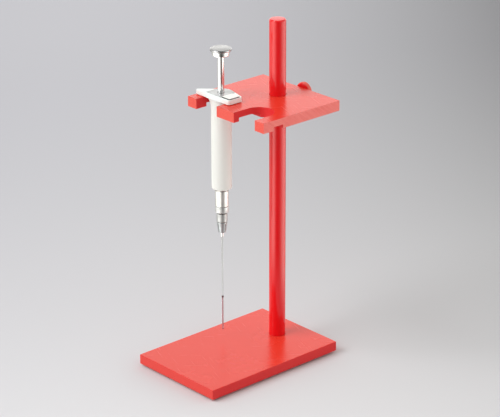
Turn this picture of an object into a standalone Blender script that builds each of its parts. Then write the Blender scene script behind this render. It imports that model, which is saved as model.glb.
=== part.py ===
"""Bench stand for capillary pipettes, with one pipette hanging in its left slot.

Metres, +Z up, front of the stand towards -Y. The origin is under the middle of
the whole object, on the surface that the feet stand on.
"""

from math import acos, atan2, cos, degrees, pi, radians, sin, sqrt, tan

import bmesh
import bpy
from mathutils import Vector

# Gap kept between pieces that touch, and between a shaft and its hole
GAP = 0.0003

# Base plate and feet
BASE_WIDTH = 0.100
BASE_DEPTH = 0.150
BASE_THICKNESS = 0.009
EDGE_CHAMFER = 0.0004
FOOT_HEIGHT = 0.0017
FOOT_RADIUS = 0.006
FOOT_INSET = 0.011

# Post and the countersunk screw that holds it from below
POST_RADIUS = 0.0075
POST_LENGTH = 0.3050
POST_TO_BASE_BACK = 0.0274
POST_TOP_CHAMFER = 0.001
SOCKET_DEPTH = 0.0035
POST_SCREW_RADIUS = 0.003
POST_SCREW_LENGTH = 0.022
POST_SCREW_HEAD_RADIUS = 0.0055
HEX_KEY_WIDTH = 0.004
HEX_KEY_DEPTH = 0.0018

# Shelf plate
SHELF_WIDTH = 0.099
SHELF_DEPTH = 0.090
SHELF_THICKNESS = 0.0094
POST_TO_SHELF_BACK = 0.0281
SLOT_WIDTH = 0.027
SLOT_SPACING = 0.0494
SLOT_CENTRE_DEPTH = 0.0171

# Relief milled across the underside, longer from front to back under the tongue
RELIEF_HEIGHT = 0.0034
TONGUE_RELIEF_START = 0.0061
TONGUE_RELIEF_LENGTH = 0.0214
SIDE_RELIEF_START = 0.0118
SIDE_RELIEF_LENGTH = 0.0107

# Clamp screw, its threaded insert and its knob
CLAMP_SCREW_RADIUS = 0.0025
CLAMP_TIP_CHAMFER = 0.0008
INSERT_WALL = 0.0007
INSERT_LENGTH = 0.009
KNOB_RADIUS = 0.0084
KNOB_THICKNESS = 0.0045
KNOB_EDGE = 0.0015
KNOB_STANDOFF = 0.0018
KNOB_WEB = 0.0020

# How the pipette hangs: its barrel lies towards the left and back of the slot's end
BARREL_TO_SLOT_WALL = 0.0020
HANG_DIRECTION = 137

# Pipette body: a barrel with a finger flange, straight in front and round behind
BARREL_RADIUS = 0.0092
BARREL_FOOT_RADIUS = 0.0091
BARREL_LENGTH = 0.0902
BARREL_FOOT_ROUNDING = 0.0022
FLANGE_LENGTH = 0.0436
FLANGE_FRONT = 0.0103
FLANGE_DISC_RADIUS = 0.0110
FLANGE_THICKNESS = 0.0047
FLANGE_CORNER = 0.0018

# The broad right arm and the narrow left one, whose back edge is swept forward
BROAD_ARM_BACK = 0.0053
NARROW_TIP_WIDTH = 0.0022
NARROW_TIP_CORNER = 0.0006
NARROW_ARM_SWEEP = 45

# Haunch under the flange, where the barrel's round spreads to the straight front
HAUNCH_REACH = 0.0015
HAUNCH_DROP = 0.0100
HAUNCH_INSET = 0.0003

# Plate round the rod and raised tab, both let into the top of the flange
TOP_PLATE_REACH = 0.0095
TOP_PLATE_RIM = 0.0010
TOP_PLATE_THICKNESS = 0.0012
PLATE_TO_TAB_WALL = 0.0004
TAB_START = 0.0109
TAB_LENGTH = 0.0102
TAB_FRONT = 0.0088
TAB_BACK = 0.0032
TAB_CORNER = 0.0009
TAB_THICKNESS = 0.0019
TAB_RISE = 0.0010

# Cylinder tube: the bright neck below the barrel, with its bore for the piston
TUBE_RADIUS = 0.0061
TUBE_NECK_LENGTH = 0.0166
CYLINDER_RADIUS = 0.0040
CYLINDER_FLOOR = 0.004
SPIGOT_RADIUS = 0.0034

# Nose: collar ring, chuck nut, split collet and the sleeves on the capillary
COLLAR_RADIUS = 0.0062
COLLAR_LENGTH = 0.0057
NOSE_GROOVE = 0.0013
CHUCK_RADIUS = 0.0049
CHUCK_LENGTH = 0.0081
COLLET_SHANK = 0.0028
COLLET_CONE_RADIUS = 0.0048
COLLET_CONE_LENGTH = 0.0102
COLLET_MOUTH_RADIUS = 0.0034
COLLET_SLIT = 0.0006
COLLET_SLIT_LENGTH = 0.0088
SLEEVE_WALL = 0.0007
TIP_SLEEVE_WALL = 0.0003
TIP_SLEEVE_SHOWS = 0.0042

# Glass capillary, hung with its tip a little above the base
CAPILLARY_RADIUS = 0.0009
CAPILLARY_BORE = 0.0005
CAPILLARY_LENGTH = 0.1219
TIP_CLEARANCE = 0.0084

# Plunger: rod, piston with its seal, button with its collar
ROD_RADIUS = 0.0030
ROD_ABOVE_FLANGE = 0.0393
BUSH_LENGTH = 0.0120
BUSH_WALL = 0.0018
BUTTON_RADIUS = 0.0097
BUTTON_THICKNESS = 0.0024
BUTTON_EDGE = 0.0009
BUTTON_BORE_DEPTH = 0.0010
COLLAR_DISC_RADIUS = 0.0079
COLLAR_DISC_THICKNESS = 0.0041
PISTON_LENGTH = 0.0080
PISTON_TOP_CLEARANCE = 0.0060
PISTON_STEM_RADIUS = 0.0018
SEAL_LENGTH = 0.0022

# Facets round a full turn
ROUND = 48
FINE_ROUND = 32
SMALL_ROUND = 20

# Heights from the standing surface up to the post's foot and the capillary's tip
BASE_BOTTOM = FOOT_HEIGHT + GAP
BASE_TOP = BASE_BOTTOM + BASE_THICKNESS
POST_FOOT = BASE_TOP - SOCKET_DEPTH + GAP
POST_TOP = POST_FOOT + POST_LENGTH
CAPILLARY_TIP = BASE_TOP + TIP_CLEARANCE
CAPILLARY_TOP = CAPILLARY_TIP + CAPILLARY_LENGTH

# Heights up the pipette: the capillary's top end stops at the foot of the neck
TUBE_BOTTOM = CAPILLARY_TOP + GAP
CYLINDER_BOTTOM = TUBE_BOTTOM + CYLINDER_FLOOR
BARREL_BOTTOM = TUBE_BOTTOM + TUBE_NECK_LENGTH
FLANGE_TOP = BARREL_BOTTOM + BARREL_LENGTH
FLANGE_BOTTOM = FLANGE_TOP - FLANGE_THICKNESS
ROD_TOP = FLANGE_TOP + ROD_ABOVE_FLANGE
BUTTON_BOTTOM = ROD_TOP - BUTTON_BORE_DEPTH + GAP
COLLAR_DISC_TOP = BUTTON_BOTTOM - GAP
COLLAR_DISC_BOTTOM = COLLAR_DISC_TOP - COLLAR_DISC_THICKNESS
STROKE = COLLAR_DISC_BOTTOM - FLANGE_TOP
PISTON_BOTTOM = CYLINDER_BOTTOM + STROKE + GAP
PISTON_TOP = PISTON_BOTTOM + PISTON_LENGTH
TUBE_TOP = PISTON_TOP + PISTON_TOP_CLEARANCE

# Heights down the pipette's nose
COLLAR_TOP = TUBE_BOTTOM - GAP
COLLAR_BOTTOM = COLLAR_TOP - COLLAR_LENGTH
CHUCK_TOP = COLLAR_BOTTOM - NOSE_GROOVE
CHUCK_BOTTOM = CHUCK_TOP - CHUCK_LENGTH
SPIGOT_BOTTOM = CHUCK_BOTTOM + COLLET_SHANK
COLLET_CONE_TOP = CHUCK_BOTTOM - GAP
COLLET_BOTTOM = COLLET_CONE_TOP - COLLET_CONE_LENGTH
SLEEVE_RADIUS = CAPILLARY_RADIUS + GAP + SLEEVE_WALL
TIP_SLEEVE_RADIUS = CAPILLARY_RADIUS + GAP + TIP_SLEEVE_WALL

# The shelf is set to the height at which the flange's arms rest on it
SHELF_TOP = FLANGE_BOTTOM - GAP
SHELF_BOTTOM = SHELF_TOP - SHELF_THICKNESS
CLAMP_HEIGHT = SHELF_TOP - SHELF_THICKNESS / 2

# Front to back: the origin lies midway between the base's front and the knob's back
KNOB_OVERHANG = POST_TO_SHELF_BACK - POST_TO_BASE_BACK + KNOB_STANDOFF + KNOB_THICKNESS
BASE_FRONT = -(BASE_DEPTH + KNOB_OVERHANG) / 2
BASE_BACK = BASE_FRONT + BASE_DEPTH
POST_Y = BASE_BACK - POST_TO_BASE_BACK
SHELF_BACK = POST_Y + POST_TO_SHELF_BACK
SHELF_FRONT = SHELF_BACK - SHELF_DEPTH

# Slots, and the pipette's axis a little off the centre of the left one's round end
SLOT_X = SLOT_SPACING / 2
SLOT_RADIUS = SLOT_WIDTH / 2
SLOT_Y = SHELF_FRONT + SLOT_CENTRE_DEPTH
HANG_OFFSET = SLOT_RADIUS - BARREL_RADIUS - BARREL_TO_SLOT_WALL
PIPETTE_X = -SLOT_X + HANG_OFFSET * cos(radians(HANG_DIRECTION))
PIPETTE_Y = SLOT_Y + HANG_OFFSET * sin(radians(HANG_DIRECTION))

# Direction from the axis, in degrees, of the point where the broad arm's back edge
# touches the flange's round middle
BROAD_EDGE_REACH = sqrt((FLANGE_LENGTH / 2) ** 2 + BROAD_ARM_BACK**2)
BROAD_EDGE_TURN = degrees(
    atan2(BROAD_ARM_BACK, FLANGE_LENGTH / 2) + acos(FLANGE_DISC_RADIUS / BROAD_EDGE_REACH)
)


def clear_scene():
    for thing in list(bpy.data.objects):
        bpy.data.objects.remove(thing, do_unlink=True)


def make_collection(name):
    collection = bpy.data.collections.new(name)
    bpy.context.scene.collection.children.link(collection)
    return collection


def make_material(name, color, roughness, metallic=0.0):
    material = bpy.data.materials.new(name)
    material.use_nodes = True
    shader = material.node_tree.nodes["Principled BSDF"]
    shader.inputs["Base Color"].default_value = (*color, 1.0)
    shader.inputs["Roughness"].default_value = roughness
    shader.inputs["Metallic"].default_value = metallic
    return material


def add_object(name, mesh, place, collection):
    thing = bpy.data.objects.new(name, mesh)
    thing.location = place
    collection.objects.link(thing)
    return thing


# Shapes

def block_mesh(name, size):
    """A box centred on its own origin."""
    mesh = bpy.data.meshes.new(name)
    form = bmesh.new()
    bmesh.ops.create_cube(form, size=1.0)
    bmesh.ops.scale(form, vec=size, verts=form.verts)
    form.to_mesh(mesh)
    form.free()
    return mesh


def drum_mesh(name, radius, length, sides):
    """A cylinder centred on its own origin, along Z."""
    mesh = bpy.data.meshes.new(name)
    form = bmesh.new()
    bmesh.ops.create_cone(
        form, cap_ends=True, segments=sides, radius1=radius, radius2=radius, depth=length
    )
    form.to_mesh(mesh)
    form.free()
    return mesh


def profile_mesh(name, points, closed):
    """The outline of a turned piece, as edges in the XZ plane."""
    mesh = bpy.data.meshes.new(name)
    edges = [(i, i + 1) for i in range(len(points) - 1)]
    if closed:
        edges.append((len(points) - 1, 0))
    mesh.from_pydata([(r, 0.0, z) for r, z in points], edges, [])
    return mesh


def turn(name, points, place, collection, sides=ROUND, closed=False):
    """A turned piece: points run down the outer side, and back up a bore if closed."""
    piece = add_object(name, profile_mesh(name, points, closed), place, collection)
    screw = piece.modifiers.new("turn", "SCREW")
    screw.axis = "Z"
    screw.angle = 2 * pi
    screw.steps = sides
    screw.render_steps = sides
    screw.use_merge_vertices = True
    screw.merge_threshold = 0.00001
    screw.use_smooth_shade = True
    return piece


def outline_mesh(name, points, thickness):
    """A flat plate cut to an outline in the XY plane, centred on Z = 0."""
    curve = bpy.data.curves.new(name, "CURVE")
    curve.dimensions = "2D"
    curve.fill_mode = "BOTH"
    curve.extrude = thickness / 2
    spline = curve.splines.new("POLY")
    spline.points.add(len(points) - 1)
    for point, (x, y) in zip(spline.points, points):
        point.co = (x, y, 0.0, 1.0)
    spline.use_cyclic_u = True
    sheet = bpy.data.objects.new(name, curve)
    bpy.context.scene.collection.objects.link(sheet)
    graph = bpy.context.evaluated_depsgraph_get()
    mesh = bpy.data.meshes.new_from_object(sheet.evaluated_get(graph))
    bpy.data.objects.remove(sheet, do_unlink=True)
    bpy.data.curves.remove(curve)
    form = bmesh.new()
    form.from_mesh(mesh)
    bmesh.ops.remove_doubles(form, verts=form.verts, dist=0.000001)
    bmesh.ops.dissolve_limit(
        form, angle_limit=radians(1), verts=form.verts, edges=form.edges
    )
    bmesh.ops.recalc_face_normals(form, faces=form.faces)
    form.to_mesh(mesh)
    form.free()
    return mesh


def arc(centre_x, centre_y, radius, start, end, steps):
    """Points round an arc, from the start angle to the end angle in degrees."""
    points = []
    for i in range(steps + 1):
        angle = radians(start + (end - start) * i / steps)
        points.append((centre_x + radius * cos(angle), centre_y + radius * sin(angle)))
    return points


def rounded(before, corner, after, radius, steps=4):
    """Points of the arc that rounds one corner of an outline."""
    corner = Vector(corner)
    incoming = (Vector(before) - corner).normalized()
    outgoing = (Vector(after) - corner).normalized()
    half = incoming.angle(outgoing) / 2
    centre = corner + (incoming + outgoing).normalized() * radius / sin(half)
    start = corner + incoming * radius / tan(half) - centre
    end = corner + outgoing * radius / tan(half) - centre
    directions = [start.slerp(end, i / steps).normalized() for i in range(steps + 1)]
    return [tuple(centre + direction * radius) for direction in directions]


def rounded_rectangle(left, right, front, back, radius):
    corners = [(left, front), (right, front), (right, back), (left, back)]
    points = []
    for i, corner in enumerate(corners):
        points += rounded(corners[i - 1], corner, corners[(i + 1) % 4], radius, 2)
    return points


def bevel(piece, width, segments=2):
    edge = piece.modifiers.new("edges", "BEVEL")
    edge.width = width
    edge.segments = segments
    edge.limit_method = "ANGLE"
    edge.angle_limit = radians(40)


def combine(piece, other, operation):
    step = piece.modifiers.new(other.name, "BOOLEAN")
    step.operation = operation
    step.object = other
    other.hide_render = True
    other.display_type = "WIRE"


def cut(piece, cutter):
    combine(piece, cutter, "DIFFERENCE")


def join(piece, extra):
    combine(piece, extra, "UNION")


def smooth(piece):
    piece.data.shade_smooth()
    piece.data.set_sharp_from_angle(angle=radians(35))


def finish(piece, material):
    piece.data.materials.append(material)


# Base plate, feet, post and the screw below it

def make_base(parts, cutters, red):
    plate = add_object(
        "base_plate",
        block_mesh("base_plate", (BASE_WIDTH, BASE_DEPTH, BASE_THICKNESS)),
        (0, BASE_FRONT + BASE_DEPTH / 2, BASE_BOTTOM + BASE_THICKNESS / 2),
        parts,
    )
    bevel(plate, EDGE_CHAMFER)
    below = BASE_BOTTOM - GAP
    head_angle_height = POST_SCREW_HEAD_RADIUS - POST_SCREW_RADIUS
    hole = turn(
        "base_hole",
        [
            (0, BASE_TOP + GAP),
            (POST_RADIUS + GAP, BASE_TOP + GAP),
            (POST_RADIUS + GAP, BASE_TOP - SOCKET_DEPTH),
            (POST_SCREW_RADIUS + GAP, BASE_TOP - SOCKET_DEPTH),
            (POST_SCREW_RADIUS + GAP, BASE_BOTTOM + head_angle_height + GAP),
            (POST_SCREW_HEAD_RADIUS + GAP, BASE_BOTTOM + GAP),
            (POST_SCREW_HEAD_RADIUS + GAP, below),
            (0, below),
        ],
        (0, POST_Y, 0),
        cutters,
    )
    cut(plate, hole)
    finish(plate, red)


def make_feet(parts, rubber):
    across = BASE_WIDTH / 2 - FOOT_INSET
    rows = {"front": BASE_FRONT + FOOT_INSET, "back": BASE_BACK - FOOT_INSET}
    for row, y in rows.items():
        for side, x in {"left": -across, "right": across}.items():
            rim = FOOT_HEIGHT / 3
            foot = turn(
                f"foot_{row}_{side}",
                [
                    (0, FOOT_HEIGHT),
                    (FOOT_RADIUS, FOOT_HEIGHT),
                    (FOOT_RADIUS, rim),
                    (FOOT_RADIUS - rim, 0),
                    (0, 0),
                ],
                (x, y, 0),
                parts,
                FINE_ROUND,
            )
            finish(foot, rubber)


def make_post(parts, cutters, red, steel):
    drill = POST_SCREW_RADIUS + GAP
    drill_top = BASE_BOTTOM + GAP + POST_SCREW_LENGTH + GAP
    post = turn(
        "post",
        [
            (0, POST_TOP),
            (POST_RADIUS - POST_TOP_CHAMFER, POST_TOP),
            (POST_RADIUS, POST_TOP - POST_TOP_CHAMFER),
            (POST_RADIUS, POST_FOOT),
            (drill, POST_FOOT),
            (drill, drill_top),
            (0, drill_top + drill),
        ],
        (0, POST_Y, 0),
        parts,
    )
    smooth(post)
    finish(post, red)
    head_height = POST_SCREW_HEAD_RADIUS - POST_SCREW_RADIUS
    bottom = BASE_BOTTOM + GAP
    screw = turn(
        "post_screw",
        [
            (0, bottom + POST_SCREW_LENGTH),
            (POST_SCREW_RADIUS * 0.8, bottom + POST_SCREW_LENGTH),
            (POST_SCREW_RADIUS, bottom + POST_SCREW_LENGTH - POST_SCREW_RADIUS * 0.2),
            (POST_SCREW_RADIUS, bottom + head_height),
            (POST_SCREW_HEAD_RADIUS, bottom),
            (0, bottom),
        ],
        (0, POST_Y, 0),
        parts,
        FINE_ROUND,
    )
    key = add_object(
        "hex_key",
        drum_mesh("hex_key", HEX_KEY_WIDTH / sqrt(3), 2 * HEX_KEY_DEPTH, 6),
        (0, POST_Y, bottom),
        cutters,
    )
    cut(screw, key)
    smooth(screw)
    finish(screw, steel)


# Shelf plate with its two slots

def shelf_outline():
    side = SHELF_WIDTH / 2
    points = [(-side, SHELF_FRONT)]
    for centre in (-SLOT_X, SLOT_X):
        points.append((centre - SLOT_RADIUS, SHELF_FRONT))
        points += arc(centre, SLOT_Y, SLOT_RADIUS, 180, 0, ROUND // 2)
        points.append((centre + SLOT_RADIUS, SHELF_FRONT))
    points += [(side, SHELF_FRONT), (side, SHELF_BACK), (-side, SHELF_BACK)]
    return points


def relief_outline():
    """A cross: wide under the tongue between the slots, narrow out to both sides."""
    far = SHELF_WIDTH
    tongue_front = SHELF_FRONT + TONGUE_RELIEF_START
    tongue_back = tongue_front + TONGUE_RELIEF_LENGTH
    side_front = SHELF_FRONT + SIDE_RELIEF_START
    side_back = side_front + SIDE_RELIEF_LENGTH
    return [
        (-SLOT_X, tongue_front),
        (SLOT_X, tongue_front),
        (SLOT_X, side_front),
        (far, side_front),
        (far, side_back),
        (SLOT_X, side_back),
        (SLOT_X, tongue_back),
        (-SLOT_X, tongue_back),
        (-SLOT_X, side_back),
        (-far, side_back),
        (-far, side_front),
        (-SLOT_X, side_front),
    ]


def make_shelf(parts, cutters, red):
    shelf = add_object(
        "shelf_plate",
        outline_mesh("shelf_plate", shelf_outline(), SHELF_THICKNESS),
        (0, 0, SHELF_BOTTOM + SHELF_THICKNESS / 2),
        parts,
    )
    bevel(shelf, EDGE_CHAMFER, 1)
    relief = add_object(
        "underside_relief",
        outline_mesh("underside_relief", relief_outline(), 2 * RELIEF_HEIGHT),
        (0, 0, SHELF_BOTTOM),
        cutters,
    )
    post_hole = add_object(
        "post_hole",
        drum_mesh("post_hole", POST_RADIUS + GAP, 2 * SHELF_THICKNESS, ROUND),
        (0, POST_Y, CLAMP_HEIGHT),
        cutters,
    )
    pocket_radius = CLAMP_SCREW_RADIUS + GAP + INSERT_WALL + GAP
    pocket_floor = POST_TO_SHELF_BACK - INSERT_LENGTH - 2 * GAP
    screw_hole = turn(
        "clamp_hole",
        [
            (0, POST_TO_SHELF_BACK + GAP),
            (pocket_radius, POST_TO_SHELF_BACK + GAP),
            (pocket_radius, pocket_floor),
            (CLAMP_SCREW_RADIUS + GAP, pocket_floor),
            (CLAMP_SCREW_RADIUS + GAP, POST_RADIUS / 2),
            (0, POST_RADIUS / 2),
        ],
        (0, POST_Y, CLAMP_HEIGHT),
        cutters,
        FINE_ROUND,
    )
    screw_hole.rotation_euler = (-pi / 2, 0, 0)
    for cutter in (relief, post_hole, screw_hole):
        cut(shelf, cutter)
    finish(shelf, red)


# Clamp screw, insert and knob, turned about the Y axis through the post

def make_clamp(parts, red, steel, brass):
    bore = CLAMP_SCREW_RADIUS + GAP
    insert_back = POST_TO_SHELF_BACK - GAP
    insert_front = insert_back - INSERT_LENGTH
    insert = turn(
        "clamp_insert",
        [
            (bore, insert_back),
            (bore + INSERT_WALL, insert_back),
            (bore + INSERT_WALL, insert_front),
            (bore, insert_front),
        ],
        (0, POST_Y, CLAMP_HEIGHT),
        parts,
        FINE_ROUND,
        closed=True,
    )
    finish(insert, brass)

    front = POST_TO_SHELF_BACK + KNOB_STANDOFF
    back = front + KNOB_THICKNESS
    head = back - KNOB_WEB - GAP
    tip = POST_RADIUS + GAP
    screw = turn(
        "clamp_screw",
        [
            (0, head),
            (CLAMP_SCREW_RADIUS, head),
            (CLAMP_SCREW_RADIUS, tip + CLAMP_TIP_CHAMFER),
            (CLAMP_SCREW_RADIUS - CLAMP_TIP_CHAMFER, tip),
            (0, tip),
        ],
        (0, POST_Y, CLAMP_HEIGHT),
        parts,
        FINE_ROUND,
    )
    finish(screw, steel)

    inner = KNOB_RADIUS - KNOB_EDGE
    rounding = [
        (inner + x, back - KNOB_EDGE + y)
        for x, y in arc(0, 0, KNOB_EDGE, 90, 0, 5)
    ]
    rounding += [
        (inner + x, front + KNOB_EDGE + y)
        for x, y in arc(0, 0, KNOB_EDGE, 0, -90, 5)
    ]
    knob = turn(
        "clamp_knob",
        [(0, back)] + rounding + [(bore, front), (bore, head + GAP), (0, head + GAP)],
        (0, POST_Y, CLAMP_HEIGHT),
        parts,
    )
    finish(knob, red)
    for piece in (insert, screw, knob):
        piece.rotation_euler = (-pi / 2, 0, 0)
        smooth(piece)


# Pipette body: barrel, flange and the haunch between them, about the pipette's axis

def broad_edge(radius, x):
    """The broad arm's back edge at x, as a tangent of the round middle's radius."""
    angle = radians(BROAD_EDGE_TURN)
    return (x, (radius - x * cos(angle)) / sin(angle))


def flange_outline():
    """The flange from above: front edge, broad arm, round middle and narrow arm."""
    arm = FLANGE_LENGTH / 2
    front_left = (-arm, -FLANGE_FRONT)
    front_right = (arm, -FLANGE_FRONT)
    broad_corner = broad_edge(FLANGE_DISC_RADIUS, arm)
    tip_back = (-arm, NARROW_TIP_WIDTH - FLANGE_FRONT)

    slope = tan(radians(NARROW_ARM_SWEEP))
    rise = tip_back[1] + arm * slope
    spread = sqrt((1 + slope**2) * FLANGE_DISC_RADIUS**2 - rise**2)
    meeting_x = -(slope * rise + spread) / (1 + slope**2)
    meeting = (meeting_x, rise + slope * meeting_x)
    disc_end = degrees(atan2(meeting[1], meeting[0]))

    points = rounded(tip_back, front_left, front_right, NARROW_TIP_CORNER)
    points += rounded(front_left, front_right, broad_corner, FLANGE_CORNER)
    points += rounded(front_right, broad_corner, broad_edge(FLANGE_DISC_RADIUS, 0), FLANGE_CORNER)
    points += arc(0, 0, FLANGE_DISC_RADIUS, BROAD_EDGE_TURN, disc_end, 12)
    points += rounded(meeting, tip_back, front_left, NARROW_TIP_CORNER)
    return points


def haunch_mesh(name):
    """Sections lofted from the barrel's round below to the flange's straight front."""
    steps = 8
    inside = BARREL_RADIUS - HAUNCH_INSET
    side = BARREL_RADIUS + HAUNCH_REACH
    front = FLANGE_FRONT - HAUNCH_INSET
    levels = []
    for i in range(steps + 1):
        up = i / steps
        levels.append((FLANGE_BOTTOM - HAUNCH_DROP * (1 - up), 1 - sqrt(1 - up**2)))
    levels.append((FLANGE_BOTTOM + FLANGE_THICKNESS / 2, 1))

    form = bmesh.new()
    rings = []
    for z, spread in levels:
        ring = []
        for i in range(ROUND):
            x, y = cos(2 * pi * i / ROUND), sin(2 * pi * i / ROUND)
            outer = side if y >= 0 else 1 / max(abs(x) / side, -y / front)
            radius = inside + (outer - inside) * spread
            ring.append(form.verts.new((radius * x, radius * y, z)))
        rings.append(ring)
    form.faces.new(reversed(rings[0]))
    for lower, upper in zip(rings, rings[1:]):
        for i in range(ROUND):
            j = (i + 1) % ROUND
            form.faces.new((lower[i], lower[j], upper[j], upper[i]))
    form.faces.new(rings[-1])
    bmesh.ops.triangulate(form, faces=[face for face in form.faces if len(face.verts) == 4])
    mesh = bpy.data.meshes.new(name)
    form.to_mesh(mesh)
    form.free()
    return mesh


def make_pipette_body(parts, cutters, white):
    rounding = BARREL_FOOT_ROUNDING
    foot = [
        (BARREL_FOOT_RADIUS - rounding + x, BARREL_BOTTOM + rounding + y)
        for x, y in arc(0, 0, rounding, 0, -90, 5)
    ]
    body = turn(
        "pipette_body",
        [(0, FLANGE_TOP - GAP), (BARREL_RADIUS, FLANGE_TOP - GAP)]
        + foot
        + [(0, BARREL_BOTTOM)],
        (0, 0, 0),
        parts,
    )
    flange = add_object(
        "flange",
        outline_mesh("flange", flange_outline(), FLANGE_THICKNESS),
        (0, 0, FLANGE_BOTTOM + FLANGE_THICKNESS / 2),
        cutters,
    )
    bevel(flange, EDGE_CHAMFER, 1)
    haunch = add_object("haunch", haunch_mesh("haunch"), (0, 0, 0), cutters)
    join(body, flange)
    join(body, haunch)

    bush_radius = ROD_RADIUS + GAP + BUSH_WALL + GAP
    bush_seat = FLANGE_TOP - TOP_PLATE_THICKNESS - 2 * GAP - BUSH_LENGTH - GAP
    bore = turn(
        "body_bore",
        [
            (0, FLANGE_TOP + GAP),
            (bush_radius, FLANGE_TOP + GAP),
            (bush_radius, bush_seat),
            (ROD_RADIUS + GAP, bush_seat),
            (ROD_RADIUS + GAP, bush_seat - BUSH_WALL),
            (TUBE_RADIUS + GAP, bush_seat - BUSH_WALL - TUBE_RADIUS + ROD_RADIUS),
            (TUBE_RADIUS + GAP, BARREL_BOTTOM - GAP),
            (0, BARREL_BOTTOM - GAP),
        ],
        (0, 0, 0),
        cutters,
    )
    cut(body, bore)
    pockets = {
        "top_plate_pocket": (top_plate_outline(GAP), TOP_PLATE_THICKNESS + GAP),
        "tab_pocket": (tab_outline(GAP), TAB_THICKNESS - TAB_RISE + GAP),
    }
    for name, (outline, depth) in pockets.items():
        pocket = add_object(name, outline_mesh(name, outline, 2 * depth), (0, 0, FLANGE_TOP), cutters)
        cut(body, pocket)
    smooth(body)
    finish(body, white)
    return [body, flange, haunch, bore] + [cutters.objects[name] for name in pockets]


def top_plate_outline(margin):
    """Follows the flange's edge inside a narrow rim, and stops short of the tab."""
    radius = FLANGE_DISC_RADIUS - TOP_PLATE_RIM + margin
    front = -(FLANGE_FRONT - TOP_PLATE_RIM + margin)
    left = -TOP_PLATE_REACH - margin
    right = TAB_START - 2 * GAP - PLATE_TO_TAB_WALL + margin
    left_turn = degrees(acos(left / radius))
    edge = [(left, front), (right, front), broad_edge(radius, right)]
    return edge + arc(0, 0, radius, BROAD_EDGE_TURN, left_turn, 12)


def tab_outline(margin):
    return rounded_rectangle(
        TAB_START - margin,
        TAB_START + TAB_LENGTH + margin,
        -TAB_FRONT - margin,
        TAB_BACK + margin,
        TAB_CORNER + margin,
    )


def make_flange_trim(parts, cutters, grey, white):
    plate = add_object(
        "top_plate",
        outline_mesh("top_plate", top_plate_outline(0), TOP_PLATE_THICKNESS),
        (0, 0, FLANGE_TOP - TOP_PLATE_THICKNESS / 2),
        parts,
    )
    hole = add_object(
        "top_plate_hole",
        drum_mesh("top_plate_hole", ROD_RADIUS + GAP, 4 * TOP_PLATE_THICKNESS, FINE_ROUND),
        (0, 0, FLANGE_TOP),
        cutters,
    )
    cut(plate, hole)
    finish(plate, grey)

    tab = add_object(
        "end_tab",
        outline_mesh("end_tab", tab_outline(0), TAB_THICKNESS),
        (0, 0, FLANGE_TOP + TAB_RISE - TAB_THICKNESS / 2),
        parts,
    )
    bevel(tab, EDGE_CHAMFER, 2)
    finish(tab, white)
    return [plate, hole, tab]


# Tube, collar, chuck and collet at the lower end of the pipette

def make_tube(parts, chrome):
    land = GAP
    tube = turn(
        "cylinder_tube",
        [
            (CYLINDER_RADIUS, TUBE_TOP),
            (TUBE_RADIUS, TUBE_TOP),
            (TUBE_RADIUS, TUBE_BOTTOM + land),
            (TUBE_RADIUS - land, TUBE_BOTTOM),
            (SPIGOT_RADIUS, TUBE_BOTTOM),
            (SPIGOT_RADIUS, SPIGOT_BOTTOM),
            (SLEEVE_RADIUS + GAP, SPIGOT_BOTTOM),
            (SLEEVE_RADIUS + GAP, TUBE_BOTTOM),
            (CAPILLARY_BORE, TUBE_BOTTOM),
            (CAPILLARY_BORE, CYLINDER_BOTTOM),
            (CYLINDER_RADIUS, CYLINDER_BOTTOM),
        ],
        (0, 0, 0),
        parts,
        closed=True,
    )
    smooth(tube)
    finish(tube, chrome)
    return [tube]


def make_collar(parts, satin):
    edge = 2 * GAP
    collar = turn(
        "collar_ring",
        [
            (SPIGOT_RADIUS + GAP, COLLAR_TOP),
            (COLLAR_RADIUS - edge, COLLAR_TOP),
            (COLLAR_RADIUS, COLLAR_TOP - edge),
            (COLLAR_RADIUS, COLLAR_BOTTOM + edge),
            (COLLAR_RADIUS - edge, COLLAR_BOTTOM),
            (SPIGOT_RADIUS + GAP, COLLAR_BOTTOM),
        ],
        (0, 0, 0),
        parts,
        closed=True,
    )
    smooth(collar)
    finish(collar, satin)
    return [collar]


def make_chuck(parts, cutters, satin, brass):
    nut = turn(
        "chuck_nut",
        [
            (SPIGOT_RADIUS + GAP, CHUCK_TOP),
            (CHUCK_RADIUS - GAP, CHUCK_TOP),
            (CHUCK_RADIUS, CHUCK_TOP - GAP),
            (CHUCK_RADIUS, CHUCK_BOTTOM),
            (SPIGOT_RADIUS + GAP, CHUCK_BOTTOM),
        ],
        (0, 0, 0),
        parts,
        FINE_ROUND,
        closed=True,
    )
    smooth(nut)
    finish(nut, satin)

    bore = TIP_SLEEVE_RADIUS + GAP
    collet = turn(
        "collet_jaws",
        [
            (bore, SPIGOT_BOTTOM - GAP),
            (SPIGOT_RADIUS, SPIGOT_BOTTOM - GAP),
            (SPIGOT_RADIUS, COLLET_CONE_TOP),
            (COLLET_CONE_RADIUS, COLLET_CONE_TOP),
            (COLLET_MOUTH_RADIUS, COLLET_BOTTOM),
            (bore, COLLET_BOTTOM),
        ],
        (0, 0, 0),
        parts,
        FINE_ROUND,
        closed=True,
    )
    slits = []
    for name, turned in {"collet_slit_a": 0.0, "collet_slit_b": pi / 2}.items():
        slit = add_object(
            name,
            block_mesh(name, (4 * COLLET_CONE_RADIUS, COLLET_SLIT, 2 * COLLET_SLIT_LENGTH)),
            (0, 0, COLLET_BOTTOM),
            cutters,
        )
        slit.rotation_euler = (0, 0, turned)
        cut(collet, slit)
        slits.append(slit)
    smooth(collet)
    finish(collet, brass)
    return [nut, collet] + slits


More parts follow.
